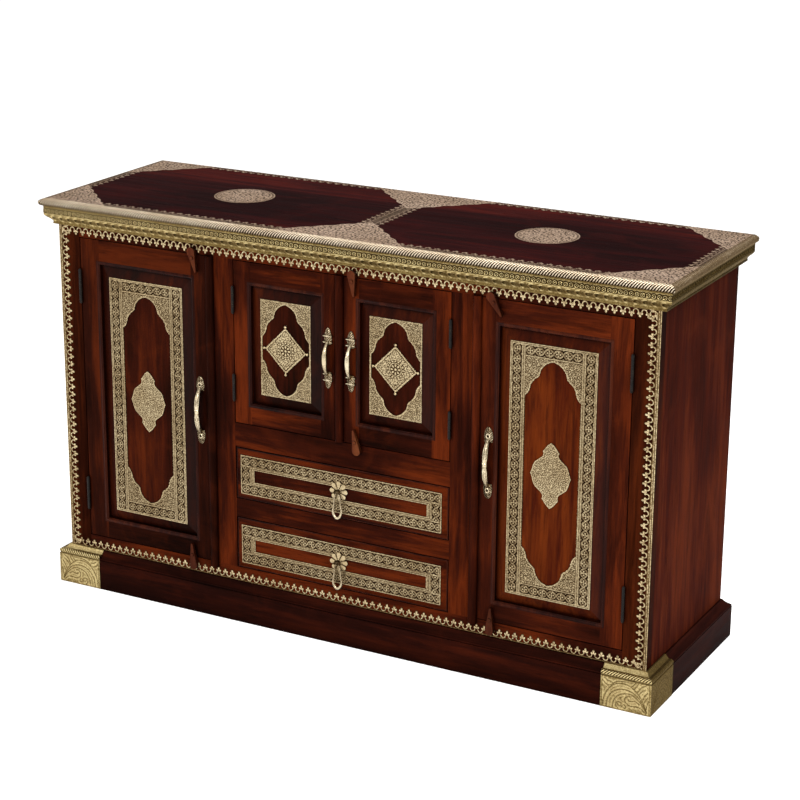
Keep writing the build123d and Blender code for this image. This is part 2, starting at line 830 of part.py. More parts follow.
def turn_latch(x, z, lean, tip_up, tip_reach, head_reach):
    """A wooden teardrop. Its tip points up or down and leans towards +X by some degrees."""
    direction = 1 if tip_up else -1
    turn = radians(-direction * lean)
    blade_plane = Plane(origin=(x, latch_back, z), x_dir=(cos(turn), 0, sin(turn)), z_dir=(0, -1, 0))
    with BuildPart() as blade:
        with BuildSketch(blade_plane):
            with Locations((0, -direction * head_reach)):
                Circle(latch_width / 2)
            with Locations((0, direction * (tip_reach - latch_tip_radius))):
                Circle(latch_tip_radius)
            make_hull()
            Circle(latch_screw_radius + joint_play, mode=Mode.SUBTRACT)
        extrude(amount=latch_thickness)
    return blade


def latch_screw(x, z):
    """The screw that holds a latch on its door."""
    shank_end = carcass_front + latch_screw_depth - latch_play
    head_back = latch_front - latch_screw_play
    with BuildPart() as screw:
        with BuildSketch(facing(shank_end)):
            with Locations((x, z)):
                Circle(latch_screw_radius)
        extrude(amount=shank_end - head_back)
        with BuildSketch(facing(head_back)):
            with Locations((x, z)):
                Circle(latch_screw_head_radius)
        extrude(amount=latch_screw_head_height)
    return screw


def build_latch(name, x, lean, tip_up, door_z, head_reach):
    """One latch near the top or the bottom edge of its door."""
    if tip_up:
        z = door_z[0] + latch_edge_distance
        blade = turn_latch(x, z, lean, True, bottom_latch_tip_reach, head_reach)
    else:
        z = door_z[1] - latch_edge_distance
        blade = turn_latch(x, z, lean, False, top_latch_tip_reach, head_reach)
    keep_group([blade, latch_screw(x, z)], name)


# ---------------------------------------------------------------- doors
def build_tall_door(name, side, latch_insets):
    """One outer door. side is -1 for the left door and 1 for the right one."""
    door_x = span(side * tall_free_edge, side * tall_hinge_edge)
    recess_x = span(side * (tall_free_edge + tall_stile_width), side * (tall_hinge_edge - tall_stile_width))
    recess_z = (tall_door_span[0] + tall_bottom_rail, tall_door_span[1] - tall_top_rail)
    latch_places = [
        (side * (tall_free_edge + latch_insets[0]), tall_door_span[1] - latch_edge_distance),
        (side * (tall_free_edge + latch_insets[1]), tall_door_span[0] + latch_edge_distance),
    ]
    boards = door_boards(door_x, tall_door_span, recess_x, recess_z, latch_places)
    bead_z = (crest_bottom_top + astragal_end_gap, crest_top_bottom - astragal_end_gap)
    bead = astragal(side * tall_free_edge, bead_z, door_x, tall_door_span)
    keep_group(boards + [bead], name + "_frame")
    keep(raised_panel(recess_x, recess_z), name + "_panel")

    half_width = (recess_x[1] - recess_x[0]) / 2 - bevel_width - arch_side_margin
    half_height = (recess_z[1] - recess_z[0]) / 2 - bevel_width - arch_end_margin
    window = cusped_window(half_width, half_height, arch_rise)
    plate = pierced_plate(recess_x, recess_z, window)
    centre = (middle_of(recess_x), middle_of(recess_z))
    plaque = pointed_medallion(centre, half_width - medallion_side_gap)
    keep_group([plate, plaque], name + "_brass")

    handle_x = side * (tall_free_edge + tall_handle_inset)
    keep(bow_handle(handle_x, middle_of(tall_door_span), tall_handle_length), name + "_handle")
    axis_x = side * (tall_hinge_edge + door_gap / 2)
    insets = (tall_hinge_bottom_inset, tall_hinge_top_inset)
    frame_halves, door_halves = hinge_pair(axis_x, -side, tall_door_span, tall_hinge_length, insets)
    keep_group(door_halves, name + "_hinge_leaves")
    return frame_halves


def build_mid_door(name, side, free_edge, latch_insets):
    """One middle door. The right one carries the bead that covers the meeting line."""
    door_x = span(free_edge, side * mid_hinge_edge)
    recess_x = span(side * mid_meeting_stile, side * (mid_hinge_edge - mid_stile_width))
    recess_z = (mid_door_span[0] + mid_bottom_rail, mid_door_span[1] - mid_top_rail)
    latch_places = []
    if latch_insets:
        latch_places = [
            (free_edge + latch_insets[0], mid_door_span[1] - latch_edge_distance),
            (free_edge + latch_insets[1], mid_door_span[0] + latch_edge_distance),
        ]
    pieces = door_boards(door_x, mid_door_span, recess_x, recess_z, latch_places)
    if side > 0:
        bead_z = (mid_door_span[0], crest_top_bottom - astragal_end_gap)
        pieces.append(astragal(0, bead_z, door_x, mid_door_span))
    keep_group(pieces, name + "_frame")
    keep(raised_panel(recess_x, recess_z), name + "_panel")

    half_width = (recess_x[1] - recess_x[0]) / 2 - bevel_width - lozenge_margin
    half_height = (recess_z[1] - recess_z[0]) / 2 - bevel_width - lozenge_margin
    window = cusped_window(half_width, half_height, lozenge_rise)
    plate = pierced_plate(recess_x, recess_z, window)
    centre = (middle_of(recess_x), middle_of(recess_z))
    plaque = diamond_plaque(centre, half_width - plaque_side_gap)
    keep_group([plate, plaque], name + "_brass")

    handle_z = middle_of(mid_door_span) - mid_handle_drop
    keep(bow_handle(side * mid_handle_offset, handle_z, mid_handle_length), name + "_handle")
    axis_x = side * (mid_hinge_edge + door_gap / 2)
    insets = (mid_hinge_bottom_inset, mid_hinge_top_inset)
    frame_halves, door_halves = hinge_pair(axis_x, -side, mid_door_span, mid_hinge_length, insets)
    keep_group(door_halves, name + "_hinge_leaves")
    return frame_halves


def build_doors():
    left_insets = (left_top_latch_inset, left_bottom_latch_inset)
    right_insets = (right_top_latch_inset, right_bottom_latch_inset)
    middle_insets = (middle_top_latch_inset, middle_bottom_latch_inset)
    left_meeting = -meeting_line - meeting_gap
    frame_halves = build_tall_door("left_door", -1, left_insets)
    frame_halves += build_tall_door("right_door", 1, right_insets)
    frame_halves += build_mid_door("middle_left_door", -1, left_meeting, ())
    frame_halves += build_mid_door("middle_right_door", 1, -meeting_line, middle_insets)
    keep_group(frame_halves, "hinge_frame_leaves")

    left_x = [-tall_free_edge - inset for inset in left_insets]
    right_x = [tall_free_edge + inset for inset in right_insets]
    middle_x = [inset - meeting_line for inset in middle_insets]
    top_head = top_latch_head_reach
    low_head = bottom_latch_head_reach
    mid_head = middle_bottom_latch_head_reach
    build_latch("left_top_latch", left_x[0], left_top_latch_lean, False, tall_door_span, top_head)
    build_latch("left_bottom_latch", left_x[1], left_bottom_latch_lean, True, tall_door_span, low_head)
    build_latch("middle_top_latch", middle_x[0], middle_top_latch_lean, False, mid_door_span, top_head)
    build_latch("middle_bottom_latch", middle_x[1], middle_bottom_latch_lean, True, mid_door_span, mid_head)
    build_latch("right_top_latch", right_x[0], right_top_latch_lean, False, tall_door_span, top_head)
    build_latch("right_bottom_latch", right_x[1], right_bottom_latch_lean, True, tall_door_span, low_head)


# ---------------------------------------------------------------- drawers
def drawer_front(front_x, front_z):
    """A board with a bevelled field that stands proud of the face frame."""
    bevel_back = drawer_field_front + drawer_bevel_depth
    with BuildPart() as front:
        with BuildSketch(facing(drawer_front_back)):
            window_rectangle(front_x, front_z, 0)
        extrude(amount=drawer_front_back - bevel_back)
        with BuildSketch(facing(bevel_back)):
            window_rectangle(front_x, front_z, 0)
        with BuildSketch(facing(drawer_field_front)):
            window_rectangle(front_x, front_z, -drawer_bevel_width)
        loft(ruled=True)
    return front


def drawer_box(box_x, box_z):
    """Two grooved sides, a back and a bottom board in the grooves."""
    long = (drawer_front_back, drawer_box_back)
    inner_x = grown(box_x, -drawer_side_thickness)
    bottom_z = (box_z[0] + drawer_bottom_lift, box_z[0] + drawer_bottom_lift + drawer_bottom_thickness)
    groove = board(grown(inner_x, drawer_groove_depth), long, grown(bottom_z, joint_play))
    sides = []
    for side_x in ((box_x[0], inner_x[0]), (inner_x[1], box_x[1])):
        plain_side = board(side_x, long, box_z)
        with BuildPart() as side:
            add(plain_side.part)
            add(groove.part, mode=Mode.SUBTRACT)
        sides.append(side)
    back_y = (drawer_box_back - drawer_side_thickness, drawer_box_back)
    back = board(inner_x, back_y, (bottom_z[1] + joint_play, box_z[1]))
    bottom_x = grown(inner_x, drawer_groove_depth - joint_play)
    bottom = board(bottom_x, long, bottom_z)
    return sides + [back, bottom]


def drawer_brass(front_x, front_z):
    """A plate on the drawer's field with a long window through it."""
    edge = drawer_bevel_width + drawer_brass_margin
    with BuildPart() as plate:
        with BuildSketch(facing(drawer_field_front)):
            window_rectangle(front_x, front_z, -edge)
        extrude(amount=brass_thickness)
        with BuildSketch(facing(drawer_field_front)):
            window_rectangle(front_x, front_z, -edge - drawer_brass_border)
        extrude(amount=brass_thickness, mode=Mode.SUBTRACT)
    return plate


def rosette(z, plate):
    """A round boss fitted to the plate's window, with two ears and the pin that the ring swings on."""
    ear_inner = ring_hub_length / 2 + ring_side_play
    ear_outer = ear_inner + ear_thickness
    with BuildPart() as boss:
        with BuildSketch(facing(drawer_field_front)):
            with Locations((0, z)):
                Circle(rosette_radius)
        extrude(amount=rosette_thickness)
        add(plate.part, mode=Mode.SUBTRACT)
        for start in (ear_inner, -ear_outer):
            with BuildSketch(Plane.YZ.offset(start)):
                with Locations((ring_pivot_y, z)):
                    Circle(ear_radius)
                with Locations((middle_of((ring_pivot_y, rosette_front)), z)):
                    Rectangle(rosette_front - ring_pivot_y, 2 * ear_radius)
            extrude(amount=ear_thickness)
        with BuildSketch(Plane.YZ.offset(-ear_outer)):
            with Locations((ring_pivot_y, z)):
                Circle(ring_pin_radius)
        extrude(amount=2 * ear_outer)
    return boss


def ring_pull(z):
    """A pear-shaped ring of round wire under a drilled hub."""
    bend = ring_width / 2 - ring_wire_radius
    bend_centre = ring_drop - ring_wire_radius - bend
    start = ring_hub_radius - ring_wire_radius / 2
    flare = asin(bend / (bend_centre - start))
    leave = (bend * cos(flare), bend * sin(flare) - bend_centre)
    swing = (flare - radians(90)) / 2
    belly = (bend * cos(swing), bend * sin(swing) - bend_centre)
    wire_plane = Plane(origin=(0, ring_pivot_y, z), x_dir=(1, 0, 0), z_dir=(0, -1, 0))
    with BuildPart() as strand:
        with BuildLine(wire_plane) as route:
            Line((0, -start), leave)
            ThreePointArc(leave, belly, (0, -bend_centre - bend))
        with BuildSketch(Plane(origin=route.line @ 0, z_dir=route.line % 0)):
            Circle(ring_wire_radius)
        sweep(path=route.line)
    other_strand = mirrored(strand)
    with BuildPart() as ring:
        add(strand.part)
        add(other_strand.part)
        with BuildSketch(Plane.YZ.offset(-ring_hub_length / 2)):
            with Locations((ring_pivot_y, z)):
                Circle(ring_hub_radius)
        extrude(amount=ring_hub_length)
        with BuildSketch(Plane.YZ.offset(-ring_hub_length / 2)):
            with Locations((ring_pivot_y, z)):
                Circle(ring_pin_radius + ring_play)
        extrude(amount=ring_hub_length, mode=Mode.SUBTRACT)
    return ring


def build_drawer(name, level):
    front_x = (door_gap - mullion_inner, mullion_inner - door_gap)
    front_z = (level + drawer_front_gap, level + drawer_opening_height - door_gap)
    keep(drawer_front(front_x, front_z), name + "_front")

    box_x = (drawer_side_play - mullion_inner, mullion_inner - drawer_side_play)
    box_bottom = level + drawer_slide_play
    keep_group(drawer_box(box_x, (box_bottom, box_bottom + drawer_box_height)), name + "_box")

    rosette_z = middle_of(front_z) + rosette_rise
    plate = drawer_brass(front_x, front_z)
    keep_group([plate, rosette(rosette_z, plate)], name + "_brass")
    keep(ring_pull(rosette_z), name + "_ring")


# ---------------------------------------------------------------- build
os.makedirs("parts", exist_ok=True)
build_plinth()
build_carcass()
build_face_frame()
build_top()
build_crest_strips()
build_doors()
for drawer_name, drawer_level in drawer_levels.items():
    build_drawer(drawer_name + "_drawer", drawer_level)
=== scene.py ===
from functools import reduce
from math import cos, pi, radians, sin, tau

import bpy
import numpy as np
from mathutils import Matrix, Vector


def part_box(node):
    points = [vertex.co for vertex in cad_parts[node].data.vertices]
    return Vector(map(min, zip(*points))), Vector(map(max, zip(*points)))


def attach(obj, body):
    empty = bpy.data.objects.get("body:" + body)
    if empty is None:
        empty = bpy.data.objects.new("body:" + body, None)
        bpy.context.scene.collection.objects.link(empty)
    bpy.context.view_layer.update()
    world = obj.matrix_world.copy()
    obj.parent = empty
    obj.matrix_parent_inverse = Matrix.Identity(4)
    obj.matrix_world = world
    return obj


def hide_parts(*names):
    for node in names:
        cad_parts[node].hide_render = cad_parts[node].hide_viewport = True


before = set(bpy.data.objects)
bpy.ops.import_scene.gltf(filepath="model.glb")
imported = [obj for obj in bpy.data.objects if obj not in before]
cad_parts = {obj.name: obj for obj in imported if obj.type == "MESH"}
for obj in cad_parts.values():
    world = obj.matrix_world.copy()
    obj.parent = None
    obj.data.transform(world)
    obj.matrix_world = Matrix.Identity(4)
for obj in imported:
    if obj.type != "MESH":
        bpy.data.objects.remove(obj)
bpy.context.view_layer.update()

# Looks of a brass-clad sideboard. Sizes are in millimetres unless a name or comment says otherwise.
MM = 0.001
FAR, TINY = 1e9, 1e-9

# ---------------------------------------------------------------- sizes
relief_step, band_step, overlay_step = 1.0, 0.9, 1.3  # of the meshes of the door, drawer and top plates
band_pitch, band_half = 20.9, 10.0  # of the plaited band: its loops, and half its width
crest_pitch, fringe_pitch = 18.1, 21.0  # of the crests on the carcass front and on the top
side_strip_rail = 6.5
ring_row_pitch, scroll_row_pitch = 11.7, 20.3
rope_pitch, cap_rope_pitch = 6.3, 6.6
plate_lift, plate_relief = 0.9, 0.96  # of the door and drawer plates, from the wood outwards
crest_relief = 1.35
door_band, drawer_band = 35.0, 31.5  # from a plate's edge to the sides of its window
tall_window_end, mid_window_side, mid_window_end = 34.0, 4.0, 6.0  # the same, for the other sides
window_rise, lozenge_rise = 78.0, 77.0  # of the cusped ends of the two kinds of window
tallest_short_handle = 72.0  # half its length
nose_inset = 5.5
drawer_bevel = 6.0


def box_mm(node):
    """Lowest and highest corner of a CAD node in millimetres."""
    low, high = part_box(node)
    return np.array(low) / MM, np.array(high) / MM


carcass_half = box_mm("side_panel_right")[1][0]
crest_low, crest_high = box_mm("crest_strips")
carcass_front = crest_high[1]
top_low, top_high = box_mm("nosing")
cornice_low, cornice_high = box_mm("cornice")


# ---------------------------------------------------------------- small maths
def smooth(low, high, x):
    """0 below low, 1 above high, and a smooth step between."""
    t = np.clip((x - low) / (high - low), 0, 1)
    return t * t * (3 - 2 * t)


def highest(*layers):
    """The highest of several layers at each point."""
    return reduce(np.maximum, layers)


def lowest(*layers):
    """The lowest of several layers at each point."""
    return reduce(np.minimum, layers)


def laid_over(mask, upper, lower):
    """The (height, tone) of upper where the mask holds, and of lower elsewhere."""
    return tuple(np.where(mask, a, b) for a, b in zip(upper, lower))


def polar(u, v):
    """Distance from the middle, and direction."""
    return np.hypot(u, v), np.arctan2(v, u)


def round_ridge(distance, half_width):
    """A rounded ridge, 1 on its line and 0 from half_width away."""
    return np.sqrt(np.clip(1 - (distance / half_width) ** 2, 0, 1))


def strands(along, pitch):
    """Rounded strands of a rope: 0 in the grooves and 1 on the crowns."""
    return np.abs(np.sin(pi * along / pitch))


def fold(x, period):
    """x brought to its nearest whole period, from minus half to plus half of it."""
    return (x / period + 0.5) % 1 * period - period / 2


def scatter(u, v, cell, seed):
    """Each point's nearest jittered seed: offset, distance to it and to the next, and a random number."""
    size, margin, play = 64, 0.2, 0.6
    table = np.random.RandomState(seed).rand(size, size, 3)
    column, row = np.floor(u / cell).astype(int), np.floor(v / cell).astype(int)
    first, second = np.full(u.shape, FAR), np.full(u.shape, FAR)
    du, dv, key = np.zeros(u.shape), np.zeros(u.shape), np.zeros(u.shape)
    for i in (-1, 0, 1):
        for j in (-1, 0, 1):
            luck = table[(column + i) % size, (row + j) % size]
            offset_u = u - (column + i + margin + play * luck[..., 0]) * cell
            offset_v = v - (row + j + margin + play * luck[..., 1]) * cell
            distance = np.hypot(offset_u, offset_v)
            nearer = distance < first
            second = np.where(nearer, first, np.minimum(second, distance))
            found, kept = (distance, offset_u, offset_v, luck[..., 2]), (first, du, dv, key)
            first, du, dv, key = (np.where(nearer, new, old) for new, old in zip(found, kept))
    return du, dv, first, second, key


def arabesque(u, v, cell, pitch, seed):
    """Close-packed curling tendrils: height and tone, both 0 to 1."""
    du, dv, near, next_near, key = scatter(u, v, cell, seed)
    hand = np.where(key > 0.5, 1, -1)
    angle = np.arctan2(dv, du) * hand + key * 37
    curl = 0.5 + 0.5 * np.cos(tau * near / pitch - angle)
    eye = np.exp(-(near / (0.35 * pitch)) ** 2)
    vein = 1 - smooth(0, 0.22 * cell, next_near - near)
    lobes = 0.5 + 0.5 * np.cos(5 * angle)
    height = highest(curl * (0.72 + 0.28 * lobes), eye, 0.55 * vein)
    return height, smooth(0.08, 0.62, height)


def arc_points(start, end, bow, count):
    """Points on an arc from start to just before end, bowed to the left of its direction."""
    start, end = np.array(start, float), np.array(end, float)
    along = end - start
    normal = np.array((-along[1], along[0])) / np.hypot(*along)
    share = np.arange(count) / count
    return start + share[:, None] * along + (4 * share * (1 - share) * bow)[:, None] * normal


def four_fold(quarter):
    """A closed outline from its upper right quarter, which starts on the vertical axis."""
    quarter = np.array(quarter)
    right = np.vstack([quarter, (quarter * (1, -1))[::-1]])
    return np.vstack([right, (right * (-1, 1))[::-1]])


def segment_distance(u, v, start, end):
    """Distance to the straight line between two points."""
    (ax, ay), (bx, by) = start, end
    ex, ey = bx - ax, by - ay
    t = np.clip(((u - ax) * ex + (v - ay) * ey) / (ex * ex + ey * ey), 0, 1)
    return np.hypot(u - ax - t * ex, v - ay - t * ey)


def polygon_distance(u, v, corners):
    """Signed distance to a closed polygon, negative inside."""
    best, inside = np.full(u.shape, FAR), np.zeros(u.shape, bool)
    for (ax, ay), (bx, by) in zip(corners, np.roll(corners, -1, 0)):
        ex, ey = bx - ax, by - ay
        if ex * ex + ey * ey < TINY:
            continue
        best = np.minimum(best, segment_distance(u, v, (ax, ay), (bx, by)))
        if abs(ey) > TINY:
            inside ^= ((ay > v) != (by > v)) & (u < ex * (v - ay) / ey + ax)
    return np.where(inside, -best, best)


def stroke_distance(u, v, points):
    """Distance to an open line through some points."""
    return lowest(*(segment_distance(u, v, a, b) for a, b in zip(points[:-1], points[1:])))


def curve(points):
    """A smooth line through some points, with three steps between each two of them."""
    steps = 3
    points = np.array(points, float)
    ends = np.vstack([2 * points[0] - points[1], points, 2 * points[-1] - points[-2]])
    smooth_points = []
    for a, b, c, d in zip(ends[:-3], ends[1:-2], ends[2:-1], ends[3:]):
        square, cube = 2 * a - 5 * b + 4 * c - d, 3 * b - a - 3 * c + d
        for t in np.arange(steps) / steps:
            smooth_points.append(0.5 * (2 * b + (c - a) * t + square * t**2 + cube * t**3))
    return np.vstack([smooth_points, points[-1:]])


def box_distance(u, v, half_u, half_v):
    """Signed distance to a centred rectangle, negative inside."""
    across, up = np.abs(u) - half_u, np.abs(v) - half_v
    outside = np.hypot(np.maximum(across, 0), np.maximum(up, 0))
    return outside + np.minimum(np.maximum(across, up), 0)


# ---------------------------------------------------------------- meshes
def relief_sheet(u_ends, v_ends, step, shape, surface):
    """Points (u, v, height), quads and tones of an embossed sheet cut to a signed distance."""
    nu = max(2, round((u_ends[1] - u_ends[0]) / step))
    nv = max(2, round((v_ends[1] - v_ends[0]) / step))
    u, v = np.meshgrid(np.linspace(*u_ends, nu + 1), np.linspace(*v_ends, nv + 1), indexing="ij")
    distance = shape(u, v)
    cell = (distance[:-1, :-1] + distance[1:, :-1] + distance[:-1, 1:] + distance[1:, 1:]) < 0
    padded = np.pad(cell, 1)
    around = [padded[:-1, :-1], padded[1:, :-1], padded[:-1, 1:], padded[1:, 1:]]
    used = np.logical_or.reduce(around)
    rim = used & ~np.logical_and.reduce(around)
    slope_u, slope_v = np.gradient(distance, step)
    steepness = np.maximum(slope_u**2 + slope_v**2, 0.3)
    pull = np.where(rim & (np.abs(distance) < 0.9 * step), distance / steepness, 0)
    u, v = u - pull * slope_u, v - pull * slope_v
    height, tone = surface(u, v)

    number = np.full(used.shape, -1)
    number[used] = np.arange(used.sum())
    below = np.full(used.shape, -1)
    below[rim] = used.sum() + np.arange(rim.sum())
    i, j = np.nonzero(cell)
    quads = [np.stack([number[i, j], number[i + 1, j], number[i + 1, j + 1], number[i, j + 1]], 1)]
    inner = padded[1:-1, 1:-1]
    for open_side, first, last in (
        (padded[1:-1, :-2], (0, 0), (1, 0)),
        (padded[1:-1, 2:], (1, 1), (0, 1)),
        (padded[:-2, 1:-1], (0, 1), (0, 0)),
        (padded[2:, 1:-1], (1, 0), (1, 1)),
    ):
        i, j = np.nonzero(inner & ~open_side)
        a, b = (i + first[0], j + first[1]), (i + last[0], j + last[1])
        quads.append(np.stack([below[a], below[b], number[b], number[a]], 1))
    points = np.stack([u[used], v[used], height[used]], 1)
    feet = np.stack([u[rim], v[rim], np.zeros(rim.sum())], 1)
    # The feet along the cut edges take half the tone: painted shade down the edge walls to the wood.
    tones = np.concatenate([tone[used], tone[rim] * 0.5])
    return np.vstack([points, feet]), np.vstack(quads), tones


def grid_skin(points, tones, closed_u=False, closed_v=False):
    """A quad skin over a grid of points with shape (rows, columns, 3)."""
    rows, columns = points.shape[:2]
    number = np.arange(rows * columns).reshape(rows, columns)
    if closed_u:
        number = np.vstack([number, number[:1]])
    if closed_v:
        number = np.hstack([number, number[:, :1]])
    quads = np.stack([number[:-1, :-1], number[1:, :-1], number[1:, 1:], number[:-1, 1:]], -1)
    return points.reshape(-1, 3), quads.reshape(-1, 4), np.broadcast_to(tones, (rows, columns)).ravel()


def joined(parts):
    """Several (points, quads, tones) as one."""
    points, quads, tones = zip(*parts)
    starts = np.cumsum([0] + [len(p) for p in points[:-1]])
    return np.vstack(points), np.vstack([q + start for q, start in zip(quads, starts)]), np.concatenate(tones)


def placed(part, origin, u_axis, v_axis, h_axis):
    """A part in sheet coordinates brought to its place."""
    points, quads, tones = part
    axes = np.array([u_axis, v_axis, h_axis], float)
    return points @ axes + np.array(origin, float), quads, tones


def flipped(part):
    """A part with its faces turned the other way."""
    points, quads, tones = part
    return points, quads[:, ::-1], tones


def mirrored_x(part):
    """A part on the other side of the middle of the cabinet."""
    points, quads, tones = flipped(part)
    return points * (-1, 1, 1), quads, tones


# Axes of a sheet on the front, upright, hanging or on its side, and of one on the top.
FRONT = ((1, 0, 0), (0, 0, 1), (0, -1, 0))
HANGING = ((-1, 0, 0), (0, 0, -1), (0, -1, 0))
SIDEWAYS = ((0, 0, 1), (-1, 0, 0), (0, -1, 0))
TOP = ((1, 0, 0), (0, 1, 0), (0, 0, 1))


def add_object(name, data):
    """A new object in the scene."""
    thing = bpy.data.objects.new(name, data)
    bpy.context.scene.collection.objects.link(thing)
    return thing


def make_piece(name, part, body, material, sharp=50):
    """A piece from points in millimetres, riding on a body. Edges of more than sharp degrees stay sharp."""
    points, quads, tones = part
    mesh = bpy.data.meshes.new(name)
    mesh.vertices.add(len(points))
    mesh.vertices.foreach_set("co", (points * MM).astype(np.float32).ravel())
    mesh.loops.add(quads.size)
    mesh.loops.foreach_set("vertex_index", quads.astype(np.int32).ravel())
    mesh.polygons.add(len(quads))
    mesh.polygons.foreach_set("loop_start", np.arange(0, quads.size, 4, dtype=np.int32))
    mesh.update(calc_edges=True)
    relief = mesh.attributes.new("relief", "FLOAT", "POINT")
    relief.data.foreach_set("value", np.asarray(tones, np.float32))
    mesh.shade_smooth()
    mesh.set_sharp_from_angle(angle=radians(sharp))
    piece = add_object(name, mesh)
    mesh.materials.append(material)
    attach(piece, body)
    return piece


# ---------------------------------------------------------------- materials
def srgb(code):
    """A linear colour from its usual hexadecimal code."""
    parts = [int(code[k : k + 2], 16) / 255 for k in (0, 2, 4)]
    return tuple(c / 12.92 if c <= 0.04045 else ((c + 0.055) / 1.055) ** 2.4 for c in parts) + (1,)


class Nodes:
    """Short hand for building the nodes of a material or a world."""

    def __init__(self, owner):
        owner.use_nodes = True
        self.owner, self.tree = owner, owner.node_tree

    def add(self, kind, **values):
        node = self.tree.nodes.new(kind)
        for key, value in values.items():
            setattr(node, key, value)
        return node

    def feed(self, node, inputs):
        """Links or sets some of a node's inputs."""
        for key, value in inputs.items():
            if isinstance(value, bpy.types.NodeSocket):
                self.tree.links.new(value, node.inputs[key])
            else:
                node.inputs[key].default_value = value
        return node

    def fed(self, kind, inputs, output=0, **values):
        """One output of a new node whose inputs are fed."""
        return self.feed(self.add(kind, **values), inputs).outputs[output]

    def shaded(self, inputs):
        """The material, with the inputs of its shader fed."""
        self.feed(self.tree.nodes["Principled BSDF"], inputs)
        return self.owner

    def math(self, operation, first, second=0.0, clamp=False):
        return self.fed("ShaderNodeMath", {0: first, 1: second}, operation=operation, use_clamp=clamp)

    def times(self, first, second):
        return self.math("MULTIPLY", first, second)

    def plus(self, first, second):
        return self.math("ADD", first, second)

    def centred(self, value, gain):
        """A noise that lies round a half, moved to lie round zero."""
        return self.times(self.math("SUBTRACT", value, 0.5), gain)

    def place(self, scale=(1, 1, 1), shift=(0, 0, 0)):
        """Object coordinates, scaled along each axis."""
        coordinates = self.add("ShaderNodeTexCoord").outputs["Object"]
        return self.fed("ShaderNodeMapping", {"Vector": coordinates, "Location": shift, "Scale": scale})

    def parts(self, vector):
        """The outputs X, Y and Z of a vector."""
        return self.feed(self.add("ShaderNodeSeparateXYZ"), {0: vector}).outputs

    def noise(self, vector, scale, detail, roughness, distortion=0.0):
        inputs = {"Vector": vector, "Scale": scale, "Detail": detail, "Roughness": roughness}
        return self.fed("ShaderNodeTexNoise", inputs | {"Distortion": distortion}, "Fac")

    def ramp(self, value, stops):
        node = self.feed(self.add("ShaderNodeValToRGB"), {0: value})
        marks = node.color_ramp.elements
        while len(marks) < len(stops):
            marks.new(0.5)
        for mark, (position, colour) in zip(marks, stops):
            mark.position, mark.color = position, colour
        return node.outputs[0]

    def spread(self, value, low, high, to_low=0.0, to_high=1.0):
        """A value brought from one range to another and kept inside it."""
        inputs = {"Value": value, "From Min": low, "From Max": high, "To Min": to_low, "To Max": to_high}
        return self.fed("ShaderNodeMapRange", inputs)

    def mix(self, share, first, second, blend="MIX"):
        return self.fed("ShaderNodeMix", {0: share, 6: first, 7: second}, 2, data_type="RGBA", blend_type=blend)

    def bump(self, height, strength, distance):
        return self.fed("ShaderNodeBump", {"Strength": strength, "Distance": distance, "Height": height})


